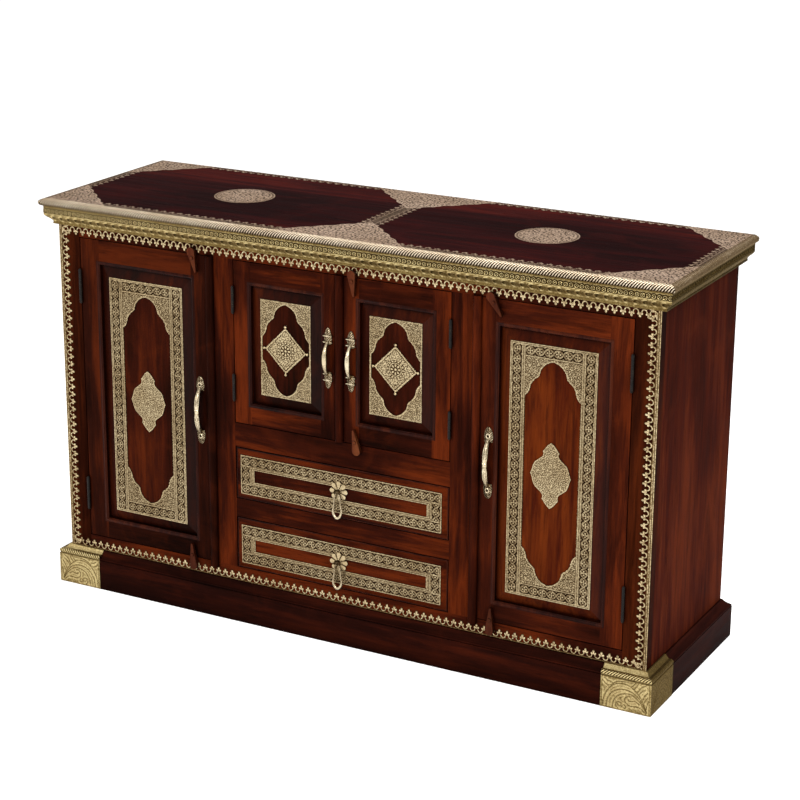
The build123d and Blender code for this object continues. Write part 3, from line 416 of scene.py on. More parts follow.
def wood(name, grain, shift, tones, glow=0.5, rough=0.3, ior=1.06, rails=None, bevel=False):
    """Polished rosewood with its grain along one axis, or along x inside the rails of a frame.

    tones are dark, middle and light. rails holds the two distances from the middle of the cabinet
    between which the rails lie, the top of the lower one and the foot of the upper one, in metres."""
    dark, mid, light = map(srgb, tones.split())
    n = Nodes(bpy.data.materials.new(name))
    stretch = {"x": (0.09, 1, 1), "y": (1, 0.09, 1), "z": (1, 1, 0.09)}
    base = n.place(stretch[grain], shift)
    if rails:
        inner, outer, low, high = rails
        where = n.parts(n.place())
        across, up = n.math("ABSOLUTE", where["X"]), where["Z"]
        between = n.times(n.math("GREATER_THAN", across, inner), n.math("LESS_THAN", across, outer))
        beyond = n.plus(n.math("LESS_THAN", up, low), n.math("GREATER_THAN", up, high))
        level = n.place(stretch["x"], (shift[1], shift[0] + 5, shift[2]))
        base = n.fed("ShaderNodeMix", {0: n.times(between, beyond), 4: base, 5: level}, 1, data_type="VECTOR")
    wander = n.noise(base, 3.2, 3, 0.5, 0.6)
    bands = n.noise(base, 15, 5, 0.6, 1.4)
    fine = n.noise(base, 95, 4, 0.65, 0.3)
    pores = n.spread(n.noise(base, 420, 2, 0.5), 0.62, 0.72)
    cloud = n.noise(n.place(shift=shift), 2.6, 2, 0.5)
    figure = n.plus(n.times(wander, 0.55), n.times(bands, 0.45))
    figure = n.plus(n.plus(figure, n.centred(fine, 0.22)), n.centred(cloud, glow))
    colour = n.ramp(figure, [(0.36, dark), (0.49, mid), (0.61, light), (0.72, mid)])
    streak = n.spread(n.noise(base, 44, 6, 0.7, 0.9), 0.52, 0.66)
    colour = n.mix(n.times(streak, 0.55), colour, dark)
    turned = (shift[2], shift[0], shift[1])
    flame = n.spread(n.noise(n.place(shift=turned), 7, 3, 0.6, 1.2), 0.55, 0.75)
    colour = n.mix(n.times(flame, 0.28), colour, light)
    colour = n.mix(n.times(pores, 0.4), colour, (0.009, 0.003, 0.002, 1))
    # Painted shade: the colour darkens where ambient occlusion finds other surfaces near, in corners, creases
    # and under overhangs.
    occlusion = n.fed("ShaderNodeAmbientOcclusion", {"Distance": 0.07}, "AO", samples=6)
    colour = n.mix(1.0, colour, n.spread(occlusion, 0.35, 0.95, 0.12, 1.0), "MULTIPLY")
    # Painted shade: faces turned away from the front, the bevels of the raised panels, are mixed halfway to a
    # dark brown. Those turned right or up also reflect more (a higher IOR), for a sheen on the side the light
    # comes from.
    if bevel:
        facing = n.parts(n.add("ShaderNodeTexCoord").outputs["Normal"])
        tilt = n.spread(n.math("ABSOLUTE", facing["Y"]), 0.985, 0.93)
        lit = n.spread(n.math("MAXIMUM", facing["X"], n.times(facing["Z"], 0.55)), 0.1, 0.3)
        colour = n.mix(tilt, colour, n.mix(0.5, colour, srgb("1e0a06")))
        ior = n.plus(n.times(n.times(tilt, lit), 0.13), ior)
    height = n.math("SUBTRACT", n.times(fine, 0.5), n.times(pores, 0.6))
    roughness = n.spread(fine, 0.3, 0.7, rough - 0.06, rough + 0.1)
    normal = n.bump(height, 0.25, 0.0006)
    return n.shaded({"Base Color": colour, "IOR": ior, "Roughness": roughness, "Normal": normal})


def brass(name, tones, rough=0.34, metallic=1.0, busy=0.8):
    """Aged embossed brass: dark in its hollows, rubbed bright on its ridges; some ornaments also bring painted
    highlight and shade in their relief tone. tones go from light to dark.
    """
    bright, shade, recess = map(srgb, tones.split())
    n = Nodes(bpy.data.materials.new(name))
    relief = n.add("ShaderNodeAttribute", attribute_name="relief").outputs["Fac"]
    where = n.place()
    blotch = n.noise(where, 9, 4, 0.6)
    speck = n.noise(where, 170, 3, 0.6)
    grit = n.noise(where, 900, 2, 0.6)
    chasing = n.noise(where, 340, 2, 0.5)
    wear_and_painted_light = n.plus(n.plus(relief, n.centred(speck, 0.4)), n.centred(chasing, busy))
    colour = n.ramp(wear_and_painted_light, [(0.06, recess), (0.55, shade), (1.0, bright)])
    stained = n.mix(1.0, colour, srgb("b8a488"), "MULTIPLY")
    roughness = n.plus(n.spread(wear_and_painted_light, 0.1, 0.9, rough + 0.25, rough), n.centred(speck, 0.16))
    height = n.plus(n.times(chasing, 0.9), n.times(grit, 0.25))
    return n.shaded(
        {
            "Base Color": n.mix(n.spread(blotch, 0.35, 0.68, 0.0, 0.5), colour, stained),
            "Metallic": n.spread(wear_and_painted_light, 0.0, 0.4, 0.85 * metallic, metallic),
            "Roughness": roughness,
            "IOR": 1.06,
            "Specular Tint": (0.86, 0.77, 0.62, 1),
            "Normal": n.bump(height, 0.5, 0.0006),
        }
    )


def dark_metal():
    """Blackened hinge brass, rubbed lighter where it is handled."""
    n = Nodes(bpy.data.materials.new("hinge_patina"))
    wear = n.noise(n.place(), 140, 4, 0.65)
    colour = n.ramp(wear, [(0.35, srgb("0a0807")), (0.6, srgb("1c1612")), (0.78, srgb("4a3e2c"))])
    roughness, normal = n.spread(wear, 0.3, 0.7, 0.26, 0.42), n.bump(wear, 0.3, 0.0004)
    looks = {"Base Color": colour, "Metallic": 0.15, "IOR": 1.25}
    return n.shaded(looks | {"Roughness": roughness, "Normal": normal})


plain_rose, pale = "150502 351107 66270d", "4a2a1a 7a4a2c 9a6840"
tall_rails, mid_rails = (0.3745, 0.6185, 0.174, 0.7785), (0.047, 0.222, 0.516, 0.783)
front_vertical = wood("rosewood_upright", "z", (0.3, 0, 0), plain_rose)
front_level = wood("rosewood_level", "x", (0, 0.7, 0.2), plain_rose)
tall_frame = wood("rosewood_tall_frame", "z", (0.8, 0, 0.5), "1c0804 3d1509 6a290f", rails=tall_rails)
# Painted shade: a darker copy of tall_frame's wood for the left door, which lies further from the light.
shaded_left_frame = wood("rosewood_shaded_left_frame", "z", (0.8, 0, 0.5), "150502 2f1007 56210c", rails=tall_rails)
stile_wood = wood("rosewood_stile", "z", (1.1, 2.2, 0.3), "140502 2d1007 4e1f0c", 0.3, ior=1.02)
mid_frame = wood("rosewood_mid_frame", "z", (0.95, 0.4, 0.3), plain_rose, rails=mid_rails)
panel_wood = wood("rosewood_panel", "z", (1.3, 0, 0.4), "1a0803 371208 5c240d", 0.6, bevel=True)
# Painted light: a brighter copy of the panel wood for the right door's panel, which gets more light.
lit_panel_wood = wood("rosewood_panel_lit", "z", (2.3, 0, 1.4), "260c06 481809 6e2e0e", bevel=True)
top_wood = wood("rosewood_top", "x", (0.4, 1.1, 0), "170606 270a0a 3e120e", 0.25, 0.3, 1.012)
end_wood = wood("rosewood_end", "z", (0.1, 2.2, 0.3), "2a0f08 4c1b0f 6c2e18", 0.3, 0.4, 1.02)
plinth_wood = wood("rosewood_plinth", "x", (2.4, 0.2, 0.9), "180704 2a0e08 46190c", 0.3, 0.36)
plinth_side_wood = wood("rosewood_plinth_side", "y", (2.4, 0.2, 0.9), "190a08 2e120d 441c12", 0.3, 0.36, 1.03)
shelf_wood, partition_wood, box_wood = (
    wood("rosewood_" + kind, grain, (3.1, 0.4, 0.2), pale, 0.4, 0.55)
    for kind, grain in (("shelves", "x"), ("partitions", "z"), ("boxes", "y"))
)
moulding_wood = wood("rosewood_moulding", "z", (5.0, 0.3, 0), "140604 2e1009 522210", 0.3, 0.18, 1.13)
latch_wood = wood("rosewood_latch", "z", (4.0, 0, 0), "35160b 562614 774022", 0.3, 0.22, 1.12)

door_brass = brass("brass_doors", "c8b792 5a472f 1e1309", busy=0.6)
cornice_brass = brass("brass_cornice", "d4c28e 76633a 261a0a", 0.36, busy=0.5)
crest_brass = brass("brass_crest", "e2d0a8 6c5636 181007", 0.3)
top_brass = brass("brass_top", "b19a88 5c4a3e 221612", 0.42, 0.55)
cast_brass = brass("brass_handles", "d6c8aa 6c5c44 181008", 0.22)
nose_brass = brass("brass_nosing", "eee0c8 6e5a42 1a1006", 0.3, busy=0.3)
hinge_metal = dark_metal()


def dress(material, *names):
    """Give CAD nodes a material in every slot."""
    for name in names:
        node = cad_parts[name]
        if not node.material_slots:
            node.data.materials.append(material)
        for slot in node.material_slots:
            slot.material = material


doors = ("left_door", "middle_left_door", "middle_right_door", "right_door")
drawers = ("upper_drawer", "lower_drawer")
dress(stile_wood, "face_stiles")
dress(front_vertical, "mullions")
dress(shaded_left_frame, "left_door_frame")
dress(tall_frame, "right_door_frame")
dress(mid_frame, "middle_left_door_frame", "middle_right_door_frame")
dress(front_level, "top_rail", "bottom_rail", "middle_rail", "drawer_rail")
dress(front_level, *[d + "_front" for d in drawers])
dress(panel_wood, *[d + "_panel" for d in doors[:3]])
dress(lit_panel_wood, "right_door_panel")
dress(top_wood, "top_board")
dress(end_wood, "side_panel_left", "side_panel_right", "back_panel")
dress(plinth_wood, "plinth_front", "plinth_back")
dress(plinth_side_wood, "plinth_ends")
dress(shelf_wood, "bottom_board", "cupboard_shelves", "middle_shelf")
dress(partition_wood, "partitions")
dress(box_wood, "drawer_runners", *[d + "_box" for d in drawers])
dress(hinge_metal, "hinge_frame_leaves", *[d + "_hinge_leaves" for d in doors])
dress(latch_wood, *[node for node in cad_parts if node.endswith("_latch")])


# ---------------------------------------------------------------- ornament
def plaited_band(along, across, phase=0.0):
    """Two interlaced straps with a flower in every loop: height and tone. across is 0 in its middle."""
    a = fold(along - phase * band_pitch, band_pitch)
    turn = pi * np.abs(a) / band_pitch
    wave = 7.4 * np.sin(turn) ** 0.8
    lean = 1 / np.hypot(1, 1.05 * np.cos(turn))
    straps = []
    for side in (-1, 1):
        offset = np.abs(across - side * np.where(a > 0, wave, -wave)) * lean
        straps.append(round_ridge(offset, 2.2) * (0.66 + 0.34 * smooth(0.1, 0.9, offset)))
    over = np.maximum(straps[0], straps[1] * 0.9) * (0.86 + 0.14 * np.cos(tau * a / 2.9))
    loop = fold(along - (phase + 0.5) * band_pitch, band_pitch)
    radius = np.hypot(loop / 1.06, across)
    angle = np.arctan2(across, loop)
    petal = 0.5 + 0.5 * np.cos(4 * angle)
    petals = round_ridge(radius - 3.5, 2.6) * petal**0.6
    flower = np.maximum(round_ridge(radius, 1.6), petals)
    edge_leaf = round_ridge(np.hypot(a / 1.5, np.abs(across) - 9.2), 1.9) * 0.75
    height = highest(over, flower, edge_leaf)
    reach = 4.8 * smooth(1.6, 8.4, np.abs(across))
    pit = smooth(0.6, -0.6, np.abs(a) - reach) * (over < 0.3) * (np.abs(across) < 8.4)
    tone = 0.04 + 0.92 * smooth(0.1, 0.97, height)
    return 0.1 + 0.9 * height - 0.6 * pit, np.where(pit > 0.5, -0.2, tone)


def plain_strip(distance, lines):
    """A plain strip with thin raised lines at some distances across it: height and tone."""
    ridge = highest(*(round_ridge(distance - line, 1.1) for line in lines))
    groove = highest(*(round_ridge(np.abs(distance - line) - 1.7, 0.6) for line in lines))
    return 0.55 + 0.5 * ridge - 0.35 * groove, 0.86 - 0.5 * groove


def window_outline(half_width, half_height, rise):
    """The cusped window of a door plate, with fine scallops on its flanks."""
    corners = [(0, 0), (0.47, 0.3), (0.54, 0.46), (0.81, 0.71), (1, 1)]
    bows = [0.08, -0.02, 0.035, -0.045]
    counts = [14, 5, 9, 10]
    corners = [(half_width * x, half_height - rise * z) for x, z in corners]
    runs = [arc_points(a, b, bow * half_width, n) for a, b, bow, n in zip(corners, corners[1:], bows, counts)]
    quarter = np.vstack(runs + [[corners[-1]]])
    index = np.arange(len(quarter))
    quarter[:, 0] += 0.5 * np.sin(index * 2.1) * (index >= counts[0]) * (index < len(quarter) - 1)
    return four_fold(quarter)


def medallion_outline(half_width, half_height):
    """A pointed round plaque with an eared tip above and below."""
    tip = [(0, 1), (0.165, 0.917), (0.285, 0.814), (0.36, 0.752), (0.4, 0.722), (0.375, 0.662), (0.385, 0.59)]
    body = [(0.44, 0.545), (0.61, 0.455), (0.78, 0.365), (0.86, 0.262), (0.925, 0.11), (0.975, 0.03), (1, 0)]
    return four_fold([(half_width * x, half_height * z) for x, z in tip + body])


def tall_surface(half_u, half_v, window):
    """Height and tone of a tall door's plate."""

    middle = door_band / 2 - 2.0

    def surface(u, v):
        side, end = half_u - np.abs(u), half_v - np.abs(v)
        rim = np.minimum(side, end)
        fine_height, fine_tone = arabesque(u, v, 8.2, 3.3, 7)
        lip = round_ridge(polygon_distance(u, v, window) - 1.6, 1.5)
        layer = np.maximum(0.05 + 0.8 * fine_height, lip), np.maximum(0.14 + 0.68 * fine_tone, 0.9 * lip)
        in_side = side < door_band
        for mask, upper in (
            ((end < 30.0) & ~in_side, plain_strip(end, (27.5,))),
            ((np.abs(end - middle) < band_half) & ~in_side, plaited_band(u, end - middle)),
            (in_side, plain_strip(side, (27.5, 32.5))),
            (rim < middle - band_half, plain_strip(rim, (1.2,))),
            ((np.abs(side - middle) < band_half) & (end > middle - band_half), plaited_band(v, side - middle)),
        ):
            layer = laid_over(mask, upper, layer)
        height, tone = layer
        return plate_lift + plate_relief * height, tone

    return surface


def mid_surface(half_u, half_v, window):
    """Height and tone of a middle door's plate."""

    def surface(u, v):
        rim = np.minimum(half_u - np.abs(u), half_v - np.abs(v))
        height, tone = arabesque(u + 31, v + 17, 8.0, 3.1, 11)
        edge = polygon_distance(u, v, window)
        lip = np.maximum(round_ridge(edge - 1.5, 1.4), round_ridge(rim - 1.3, 1.4) * 0.8)
        height = np.maximum(0.05 + 0.85 * height, lip)
        return plate_lift + plate_relief * height, np.maximum(0.1 + 0.78 * tone, 0.95 * lip)

    return surface


def door_plate(door):
    """The brass plate of one door: its pierced sheet and the plaque in its window."""
    wall = box_mm(door + "_panel")[0][1]
    low, high = box_mm(door + "_brass")
    half_u, half_v = (high[0] - low[0]) / 2, (high[2] - low[2]) / 2
    if half_v > 2 * half_u:
        window = window_outline(half_u - door_band, half_v - tall_window_end, window_rise)
        surface, plaque = tall_surface(half_u, half_v, window), medallion()
    else:
        window = window_outline(half_u - mid_window_side, half_v - mid_window_end, lozenge_rise)
        surface, plaque = mid_surface(half_u, half_v, window), diamond()

    def shape(u, v):
        return np.maximum(box_distance(u, v, half_u, half_v), -polygon_distance(u, v, window))

    plate = relief_sheet((-half_u, half_u), (-half_v, half_v), relief_step, shape, surface)
    origin = ((low[0] + high[0]) / 2, wall, (low[2] + high[2]) / 2)
    parts = [placed(part, origin, *FRONT) for part in (plate, plaque)]
    piece = make_piece(door + "_brasswork", joined(parts), door, door_brass)
    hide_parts(door + "_brass")


def medallion():
    """The pointed plaque of a tall door."""
    half_width, half_height = 46.0, 72.0
    outline = medallion_outline(half_width, half_height)

    def shape(u, v):
        return polygon_distance(u, v, outline)

    def surface(u, v):
        edge = -polygon_distance(u, v, outline)
        height, tone = arabesque(u + 5, v + 3, 7.6, 3.0, 23)
        lip = round_ridge(edge - 1.2, 1.4)
        dome = 1.3 * smooth(0, 26, edge)
        height = 1.2 + dome + 0.8 * np.maximum(0.75 * height, lip)
        return height, np.maximum(0.28 + 0.6 * tone, 0.9 * lip)

    return relief_sheet((-half_width, half_width), (-half_height, half_height), 0.9, shape, surface)


def diamond():
    """The square plaque stood on a corner, with its four balls."""
    half, sheet_half = 51.0, 57.0
    ball, reach = 3.2, 53.5

    def from_ball(u, v):
        return np.minimum(np.hypot(np.abs(u) - reach, v), np.hypot(u, np.abs(v) - reach))

    def shape(u, v):
        scallop = 0.5 * np.cos(tau * (np.abs(u) - np.abs(v)) / 7.0)
        square = (np.abs(u) + np.abs(v) - half) / np.sqrt(2) - scallop
        arms = np.minimum(box_distance(u, v, reach, 1.6), box_distance(u, v, 1.6, reach))
        return lowest(square, arms, from_ball(u, v) - ball)

    def surface(u, v):
        inset = (half - np.abs(u) - np.abs(v)) / np.sqrt(2)
        radius, angle = polar(u, v)
        height, tone = arabesque(u + 50, v + 50, 7.4, 3.6, 31)
        rope = 0.5 + 0.5 * np.cos(tau * (np.abs(u) - np.abs(v)) / 3.4)
        lip = round_ridge(inset - 1.6, 1.7) * (0.75 + 0.25 * rope)
        trench = round_ridge(inset - 4.4, 1.2)
        height, tone = 0.75 * height - 0.5 * trench, 0.14 + 0.86 * tone - 0.3 * trench
        layer = np.maximum(height, lip), np.maximum(tone, lip)
        petals, beads = 0.5 + 0.5 * np.cos(8 * angle), 0.6 + 0.4 * np.cos(16 * angle)
        petals = 0.9 * petals * round_ridge(radius - 8.6, 3.6)
        beads = beads * round_ridge(radius - 18.2, 1.9)
        disc = highest(round_ridge(radius, 3.0), petals, round_ridge(radius - 14.2, 1.0), beads)
        height, tone = laid_over(radius < 20.6, (disc + 0.4, 0.25 + 0.75 * smooth(0.05, 0.7, disc)), layer)
        knob = np.maximum(3.4 * round_ridge(from_ball(u, v), ball + 0.4), 0.5)
        height, tone = laid_over(inset < -0.8, (knob, 1.0), (height * 1.1, tone))
        return 1.1 + height, tone

    return relief_sheet((-sheet_half, sheet_half), (-sheet_half, sheet_half), 0.8, shape, surface)


for door in doors:
    door_plate(door)


# ---------------------------------------------------------------- drawer brass
def drawer_plate(drawer):
    """The framed strip of one drawer with its flower."""
    front_low, front_high = box_mm(drawer + "_front")
    wall, centre_z = front_low[1], (front_low[2] + front_high[2]) / 2
    half_u, half_v = 250.0, 45.5
    window_u, window_v = half_u - drawer_band - 3.5, half_v - drawer_band
    middle, flower_z, flower_ends = 13.0, centre_z + 5.0, (-23, 23)

    def shape(u, v):
        return np.maximum(box_distance(u, v, half_u, half_v), -box_distance(u, v, window_u, window_v))

    def surface(u, v):
        side, end = half_u - np.abs(u), half_v - np.abs(v)
        layer = plain_strip(np.minimum(side, end), (1.2, 26.5, 30.2))
        in_long = (np.abs(end - middle) < band_half) & (side > 3.0)
        in_short = (np.abs(side - middle) < band_half) & (end > middle + band_half + 1.5)
        layer = laid_over(in_long, plaited_band(u, end - middle, 0.2), layer)
        height, tone = laid_over(in_short, plaited_band(v, side - middle, 0.5), layer)
        return plate_lift + plate_relief * height, tone

    plate = relief_sheet((-half_u, half_u), (-half_v, half_v), band_step, shape, surface)
    flower = relief_sheet(flower_ends, flower_ends, 0.7, rosette_shape, rosette_surface)
    parts = [placed(plate, (0, wall, centre_z), *FRONT), placed(flower, (0, wall, flower_z), *FRONT)]
    parts += ears((0, wall - 4.0, flower_z))
    piece = make_piece(drawer + "_brasswork", joined(parts), drawer, door_brass)
    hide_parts(drawer + "_brass")


def rosette_shape(u, v):
    """Eight pointed petals."""
    radius, angle = polar(u, v)
    return radius - 16.0 - 6.0 * np.abs(np.cos(4 * angle)) ** 0.8


def rosette_surface(u, v):
    """Domed petals round a raised ring."""
    radius, angle = polar(u, v)
    petal = np.abs(np.cos(4 * angle))
    dome = 2.6 + 2.0 * smooth(22, 8, radius)
    height = dome * (0.5 + 0.5 * petal**0.5) + 1.1 * round_ridge(radius - 6.5, 1.5)
    tone = (0.2 + 0.8 * smooth(0.05, 0.6, petal)) * (0.55 + 0.45 * smooth(6.0, 11.0, radius))
    tone = tone + 0.4 * round_ridge(radius - 6.5, 1.6)
    return np.clip(height, 1.4, 5.4), np.clip(tone, 0, 1)


def circle(sides):
    """The directions of evenly spaced points on a circle."""
    return np.linspace(0, tau, sides, endpoint=False)


def ears(origin):
    """The two lugs that carry a ring's pin: turned discs with a profile of (x, radius)."""
    profile = ((4.4, 2.0), (4.4, 4.3), (4.9, 4.9), (6.4, 4.9), (6.9, 4.3), (7.0, 2.6), (7.9, 2.2), (8.1, 0.4))
    parts = []
    for side in (-1, 1):
        rings = [[(side * x, -4.8 - r * cos(t), r * sin(t)) for t in circle(24)] for x, r in profile]
        skin = grid_skin(np.array(rings) + origin, 0.4, closed_v=True)
        parts.append(flipped(skin) if side < 0 else skin)
    return parts


for drawer in drawers:
    drawer_plate(drawer)


# ---------------------------------------------------------------- tubes, rings and handles
def tube(centres, radii, sides, closed, tones):
    """A round bar that follows points in the x, y, z frame."""
    if closed:
        tangents = np.roll(centres, -1, 0) - np.roll(centres, 1, 0)
    else:
        tangents = np.gradient(centres, axis=0)
    tangents /= np.linalg.norm(tangents, axis=1)[:, None]
    side = np.cross(tangents, (0, -1.0, 0)) if closed else np.array([(1.0, 0, 0)])
    side = side - (side * tangents).sum(1)[:, None] * tangents
    side /= np.linalg.norm(side, axis=1)[:, None]
    up = np.cross(tangents, side)
    turn = circle(sides)[None, :, None]
    ring = np.cos(turn) * side[:, None] + np.sin(turn) * up[:, None]
    points = centres[:, None] + radii[:, None, None] * ring
    return flipped(grid_skin(points, tones[:, None], closed_u=closed, closed_v=True))


def drawer_ring(drawer):
    """The pear-shaped pull, thicker at its foot, hung on a round hub with a profile of (x, radius)."""
    low, high = box_mm(drawer + "_ring")
    y, pivot_z = (low[1] + high[1]) / 2, high[2] - 4.2
    drop, half = pivot_z - low[2] - 2.6, (high[0] - low[0]) / 2 - 2.4
    count = 72
    up, across = np.cos(circle(count)), np.sin(circle(count))
    width = half * across * (0.62 + 0.38 * smooth(0.2, -0.7, up))
    foot = smooth(0.1, -1.0, up)
    centres = np.stack([width, np.full(count, y), pivot_z - drop / 2 + drop / 2 * up - 0.4], 1)
    ring = tube(centres, 2.1 + 1.1 * foot**2, 16, True, 0.72 + 0.2 * foot)
    profile = [(-4.0, 1.62), (-4.0, 3.4), (-3.4, 4.1), (-1.6, 4.0), (0, 3.5), (1.6, 4.0), (3.4, 4.1)]
    profile += [(4.0, 3.4), (4.0, 1.62)]
    hub = [[(x, y + r * cos(t), pivot_z + r * sin(t)) for t in circle(20)] for x, r in profile]
    parts = [ring, flipped(grid_skin(np.array(hub), 0.35, closed_v=True))]
    piece = make_piece(drawer + "_pull", joined(parts), drawer + "_ring", cast_brass)
    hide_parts(drawer + "_ring")


for drawer in drawers:
    drawer_ring(drawer)


def leaf_foot(length, width, crowned):
    """A cast leaf, its tip along +v and its stem at v = 0. A crowned one has two bars across it."""
    widest, bars, half = 0.36, (2.0, 0.46 * length), width / 2

    def outline(v):
        t = np.clip(v / length, 0, 1)
        body = np.sqrt(np.clip(1 - ((t - widest) / (1 - widest)) ** 2, 0, 1)) * (1 - 0.18 * t)
        return half * np.where(t < widest, 0.82 + 0.18 * np.sin(t / widest * pi / 2), body)

    def shape(u, v):
        edge = highest((np.abs(u) - outline(v)) * 0.9, v - length, -v - 3.0)
        if crowned:
            edge = lowest(edge, *(box_distance(u, v - bar, half + 1.6, 1.9) for bar in bars))
        return edge

    def surface(u, v):
        edge = -shape(u, v)
        vein = round_ridge(u, 0.8)
        ribs = 0.5 + 0.5 * np.cos(tau * (v - 1.1 * np.abs(u)) / 5.2)
        height = 1.0 + 3.4 * smooth(0, 7, edge) + 0.7 * ribs * smooth(0.5, 3.0, edge) - 0.8 * vein
        tone = 0.45 + 0.55 * ribs - 0.45 * vein
        if crowned:
            crown = highest(*(round_ridge(v - bar, 2.0) for bar in bars))
            height, tone = np.maximum(height, 1.2 + 3.6 * crown), np.maximum(tone * 0.8, crown)
        else:
            eye = np.hypot(u, v - widest * length)
            rim, pupil = round_ridge(eye - 4.4, 1.5), round_ridge(eye, 2.2)
            side_eye = round_ridge(np.hypot(np.abs(u) - 5.2, v - 0.68 * length), 1.5)
            height = height + 0.8 * rim - 0.8 * pupil - 0.5 * side_eye
            tone = np.maximum(tone - 0.25, 1.1 * rim) - 0.9 * pupil - 0.7 * side_eye
        return height, np.clip(tone, 0, 1)

    return relief_sheet((-half - 2, half + 2), (-3, length), 0.6, shape, surface)


def bow_handle(door):
    """A cast bow with a leaf at each end. The tall doors' handles are reeded and carry two collars."""
    low, high = box_mm(door + "_handle")
    x, z = (low[0] + high[0]) / 2, (low[2] + high[2]) / 2
    half, wall = (high[2] - low[2]) / 2, carcass_front
    tall = half > tallest_short_handle
    leaf_length, leaf_width = (30.0, 21.0) if tall else (34.0, 18.0)
    leaf_lap, thickest, shortest_bow, bow_depth = 3.0, 7.0, 1.5, 15.5
    reach = half - leaf_length + leaf_lap
    count, sides = 90, 32
    t = np.linspace(-1, 1, count)
    bow = bow_depth * np.clip(1 - np.abs(t) ** 2.6, 0, 1) ** 0.8 + shortest_bow
    centres = np.stack([np.full(count, x), wall - bow, z + t * reach], 1)
    if tall:
        radii = 4.6 + 2.1 * smooth(0.95, 0.5, np.abs(t)) - 1.3 * smooth(0.3, 0.08, np.abs(t))
        radii = highest(radii, *(thickest * round_ridge(t - collar, 0.04) for collar in (-0.085, 0.085)))
    else:
        radii = 4.0 + 1.9 * smooth(0.9, 0.05, np.abs(t))
    points, quads, tones = tube(centres, radii, sides, False, 0.8 + 0.2 * smooth(4.0, 6.0, radii))
    if tall:
        reeds = (0.5 + 0.5 * np.cos(8 * circle(sides))) * smooth(0.16, 0.3, np.abs(t))[:, None]
        core = centres[:, None]
        points = (core + (points.reshape(count, sides, 3) - core) * (1 - 0.1 * reeds)[..., None]).reshape(-1, 3)
        tones = tones - 0.35 * reeds.ravel()
    leaf = leaf_foot(leaf_length, leaf_width, not tall)
    parts = [(points, quads, tones), placed(leaf, (x, wall, z + reach - leaf_lap), *FRONT)]
    parts.append(placed(leaf, (x, wall, z - reach + leaf_lap), *HANGING))
    piece = make_piece(door + "_pull", joined(parts), door, cast_brass)
    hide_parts(door + "_handle")


for door in doors:
    bow_handle(door)


# ---------------------------------------------------------------- mouldings round the panels
def frame_ring(low_x, high_x, low_z, high_z, face, profile):
    """A mitred moulding round a rectangle: profile holds (distance outside the rectangle, height)."""
    rows = []
    for out, height in profile:
        x, z = (low_x - out, high_x + out), (low_z - out, high_z + out)
        rows.append([(x[i], face - height, z[j]) for i, j in ((0, 0), (1, 0), (1, 1), (0, 1))])
    return flipped(grid_skin(np.array(rows), 1.0, closed_v=True))


recess_bead = [(-0.3, -5.0), (-0.3, -3.2), (0.2, -2.0), (0.9, -1.2), (1.8, -1.0), (2.1, -0.2), (2.7, 0.5)]
recess_bead += [(3.7, 0.95), (4.9, 0.95), (5.9, 0.5), (6.4, 0.05), (6.8, 0.0), (7.2, 0.35), (7.8, 0.4)]
recess_bead += [(8.2, 0.2), (8.3, -0.3)]
drawer_bead = [(0.0, -1.0), (0.0, 0.6), (-0.5, 1.4), (-1.3, 1.9), (-2.1, 1.9), (-2.7, 1.5), (-2.8, 0.0)]


def build_mouldings():
    """The moulding round each door's recess and the bead round each drawer."""
    reach = 25.0
    for door in doors:
        low, high = box_mm(door + "_brass")
        edges = (low[0] - reach, high[0] + reach, low[2] - reach, high[2] + reach)
        ring = frame_ring(*edges, carcass_front, recess_bead[::-1])
        make_piece(door + "_moulding", ring, door, moulding_wood, 40)
    for drawer in drawers:
        low, high = box_mm(drawer + "_front")
        ring = frame_ring(low[0], high[0], low[2], high[2], low[1] + drawer_bevel, drawer_bead)
        make_piece(drawer + "_bead", ring, drawer, moulding_wood, 40)


build_mouldings()


# ---------------------------------------------------------------- crest strips
def crest(along, out, pitch, depth):
    """Signed distance, height and tone of a pierced crest: out is 0 at its root and depth at its tips."""
    drawn_pitch, drawn_depth = 18.1, 21.0
    k = pitch / drawn_pitch
    a, b = fold(along, pitch) / k, out * drawn_depth / depth
    hollow = np.hypot(np.abs(np.abs(a) - drawn_pitch / 2), np.minimum(b - 9.2, 0))
    ribbon = np.maximum(np.abs(hollow - 5.5) - 1.75, b - 12.0)
    tip = np.hypot(a / 0.62, b - 16.4) * 0.8 - 3.7
    lobes = np.hypot(np.abs(a) - 4.3, b - 12.6) - 2.7
    leaf = lowest(tip, lobes, np.hypot(a, b - 12.0) - 3.2)
    root = b - 2.4
    rounded = np.sqrt(np.clip(-np.minimum(ribbon, leaf) / 1.9, 0, 1))
    dent = round_ridge(np.hypot(a, b - 11.6), 1.2)
    vein = round_ridge(np.where(b > 13.4, a, 9.0), 0.7)
    height = np.maximum(rounded, 0.45 * (root < 0))
    # Painted shade: the tone follows the rounding, so each ribbon and leaf darkens towards its edges.
    tone = np.maximum(0.1 + 0.9 * rounded**1.3 - 0.7 * dent - 0.4 * vein, 0.45 * (root < 0))
    return lowest(ribbon, leaf, root) * k, height - 0.35 * dent * (leaf < 0), tone


def crest_strip(length, depth, rail, phase):
    """One strip, its root along v = 0, with or without a plain rail below the crest."""

    def pattern(u, v):
        return crest(u - phase, v - rail, crest_pitch, depth - rail - 0.6)

    def surface(u, v):
        _, height, tone = pattern(u, v)
        if rail:
            lines = np.maximum(round_ridge(v - 1.2, 1.1), 0.8 * round_ridge(v - rail + 1.4, 1.4))
            height, tone = laid_over(v < rail, (np.maximum(lines, 0.3), 0.35 + 0.5 * lines), (height, tone))
        else:
            height = np.maximum(height, 0.8 * round_ridge(v - 1.0, 1.0))
        return 0.3 + (crest_relief - 0.3) * height, np.clip(tone, 0, 1)

    return relief_sheet((-length / 2, length / 2), (0, depth), 0.9, lambda u, v: pattern(u, v)[0], surface)


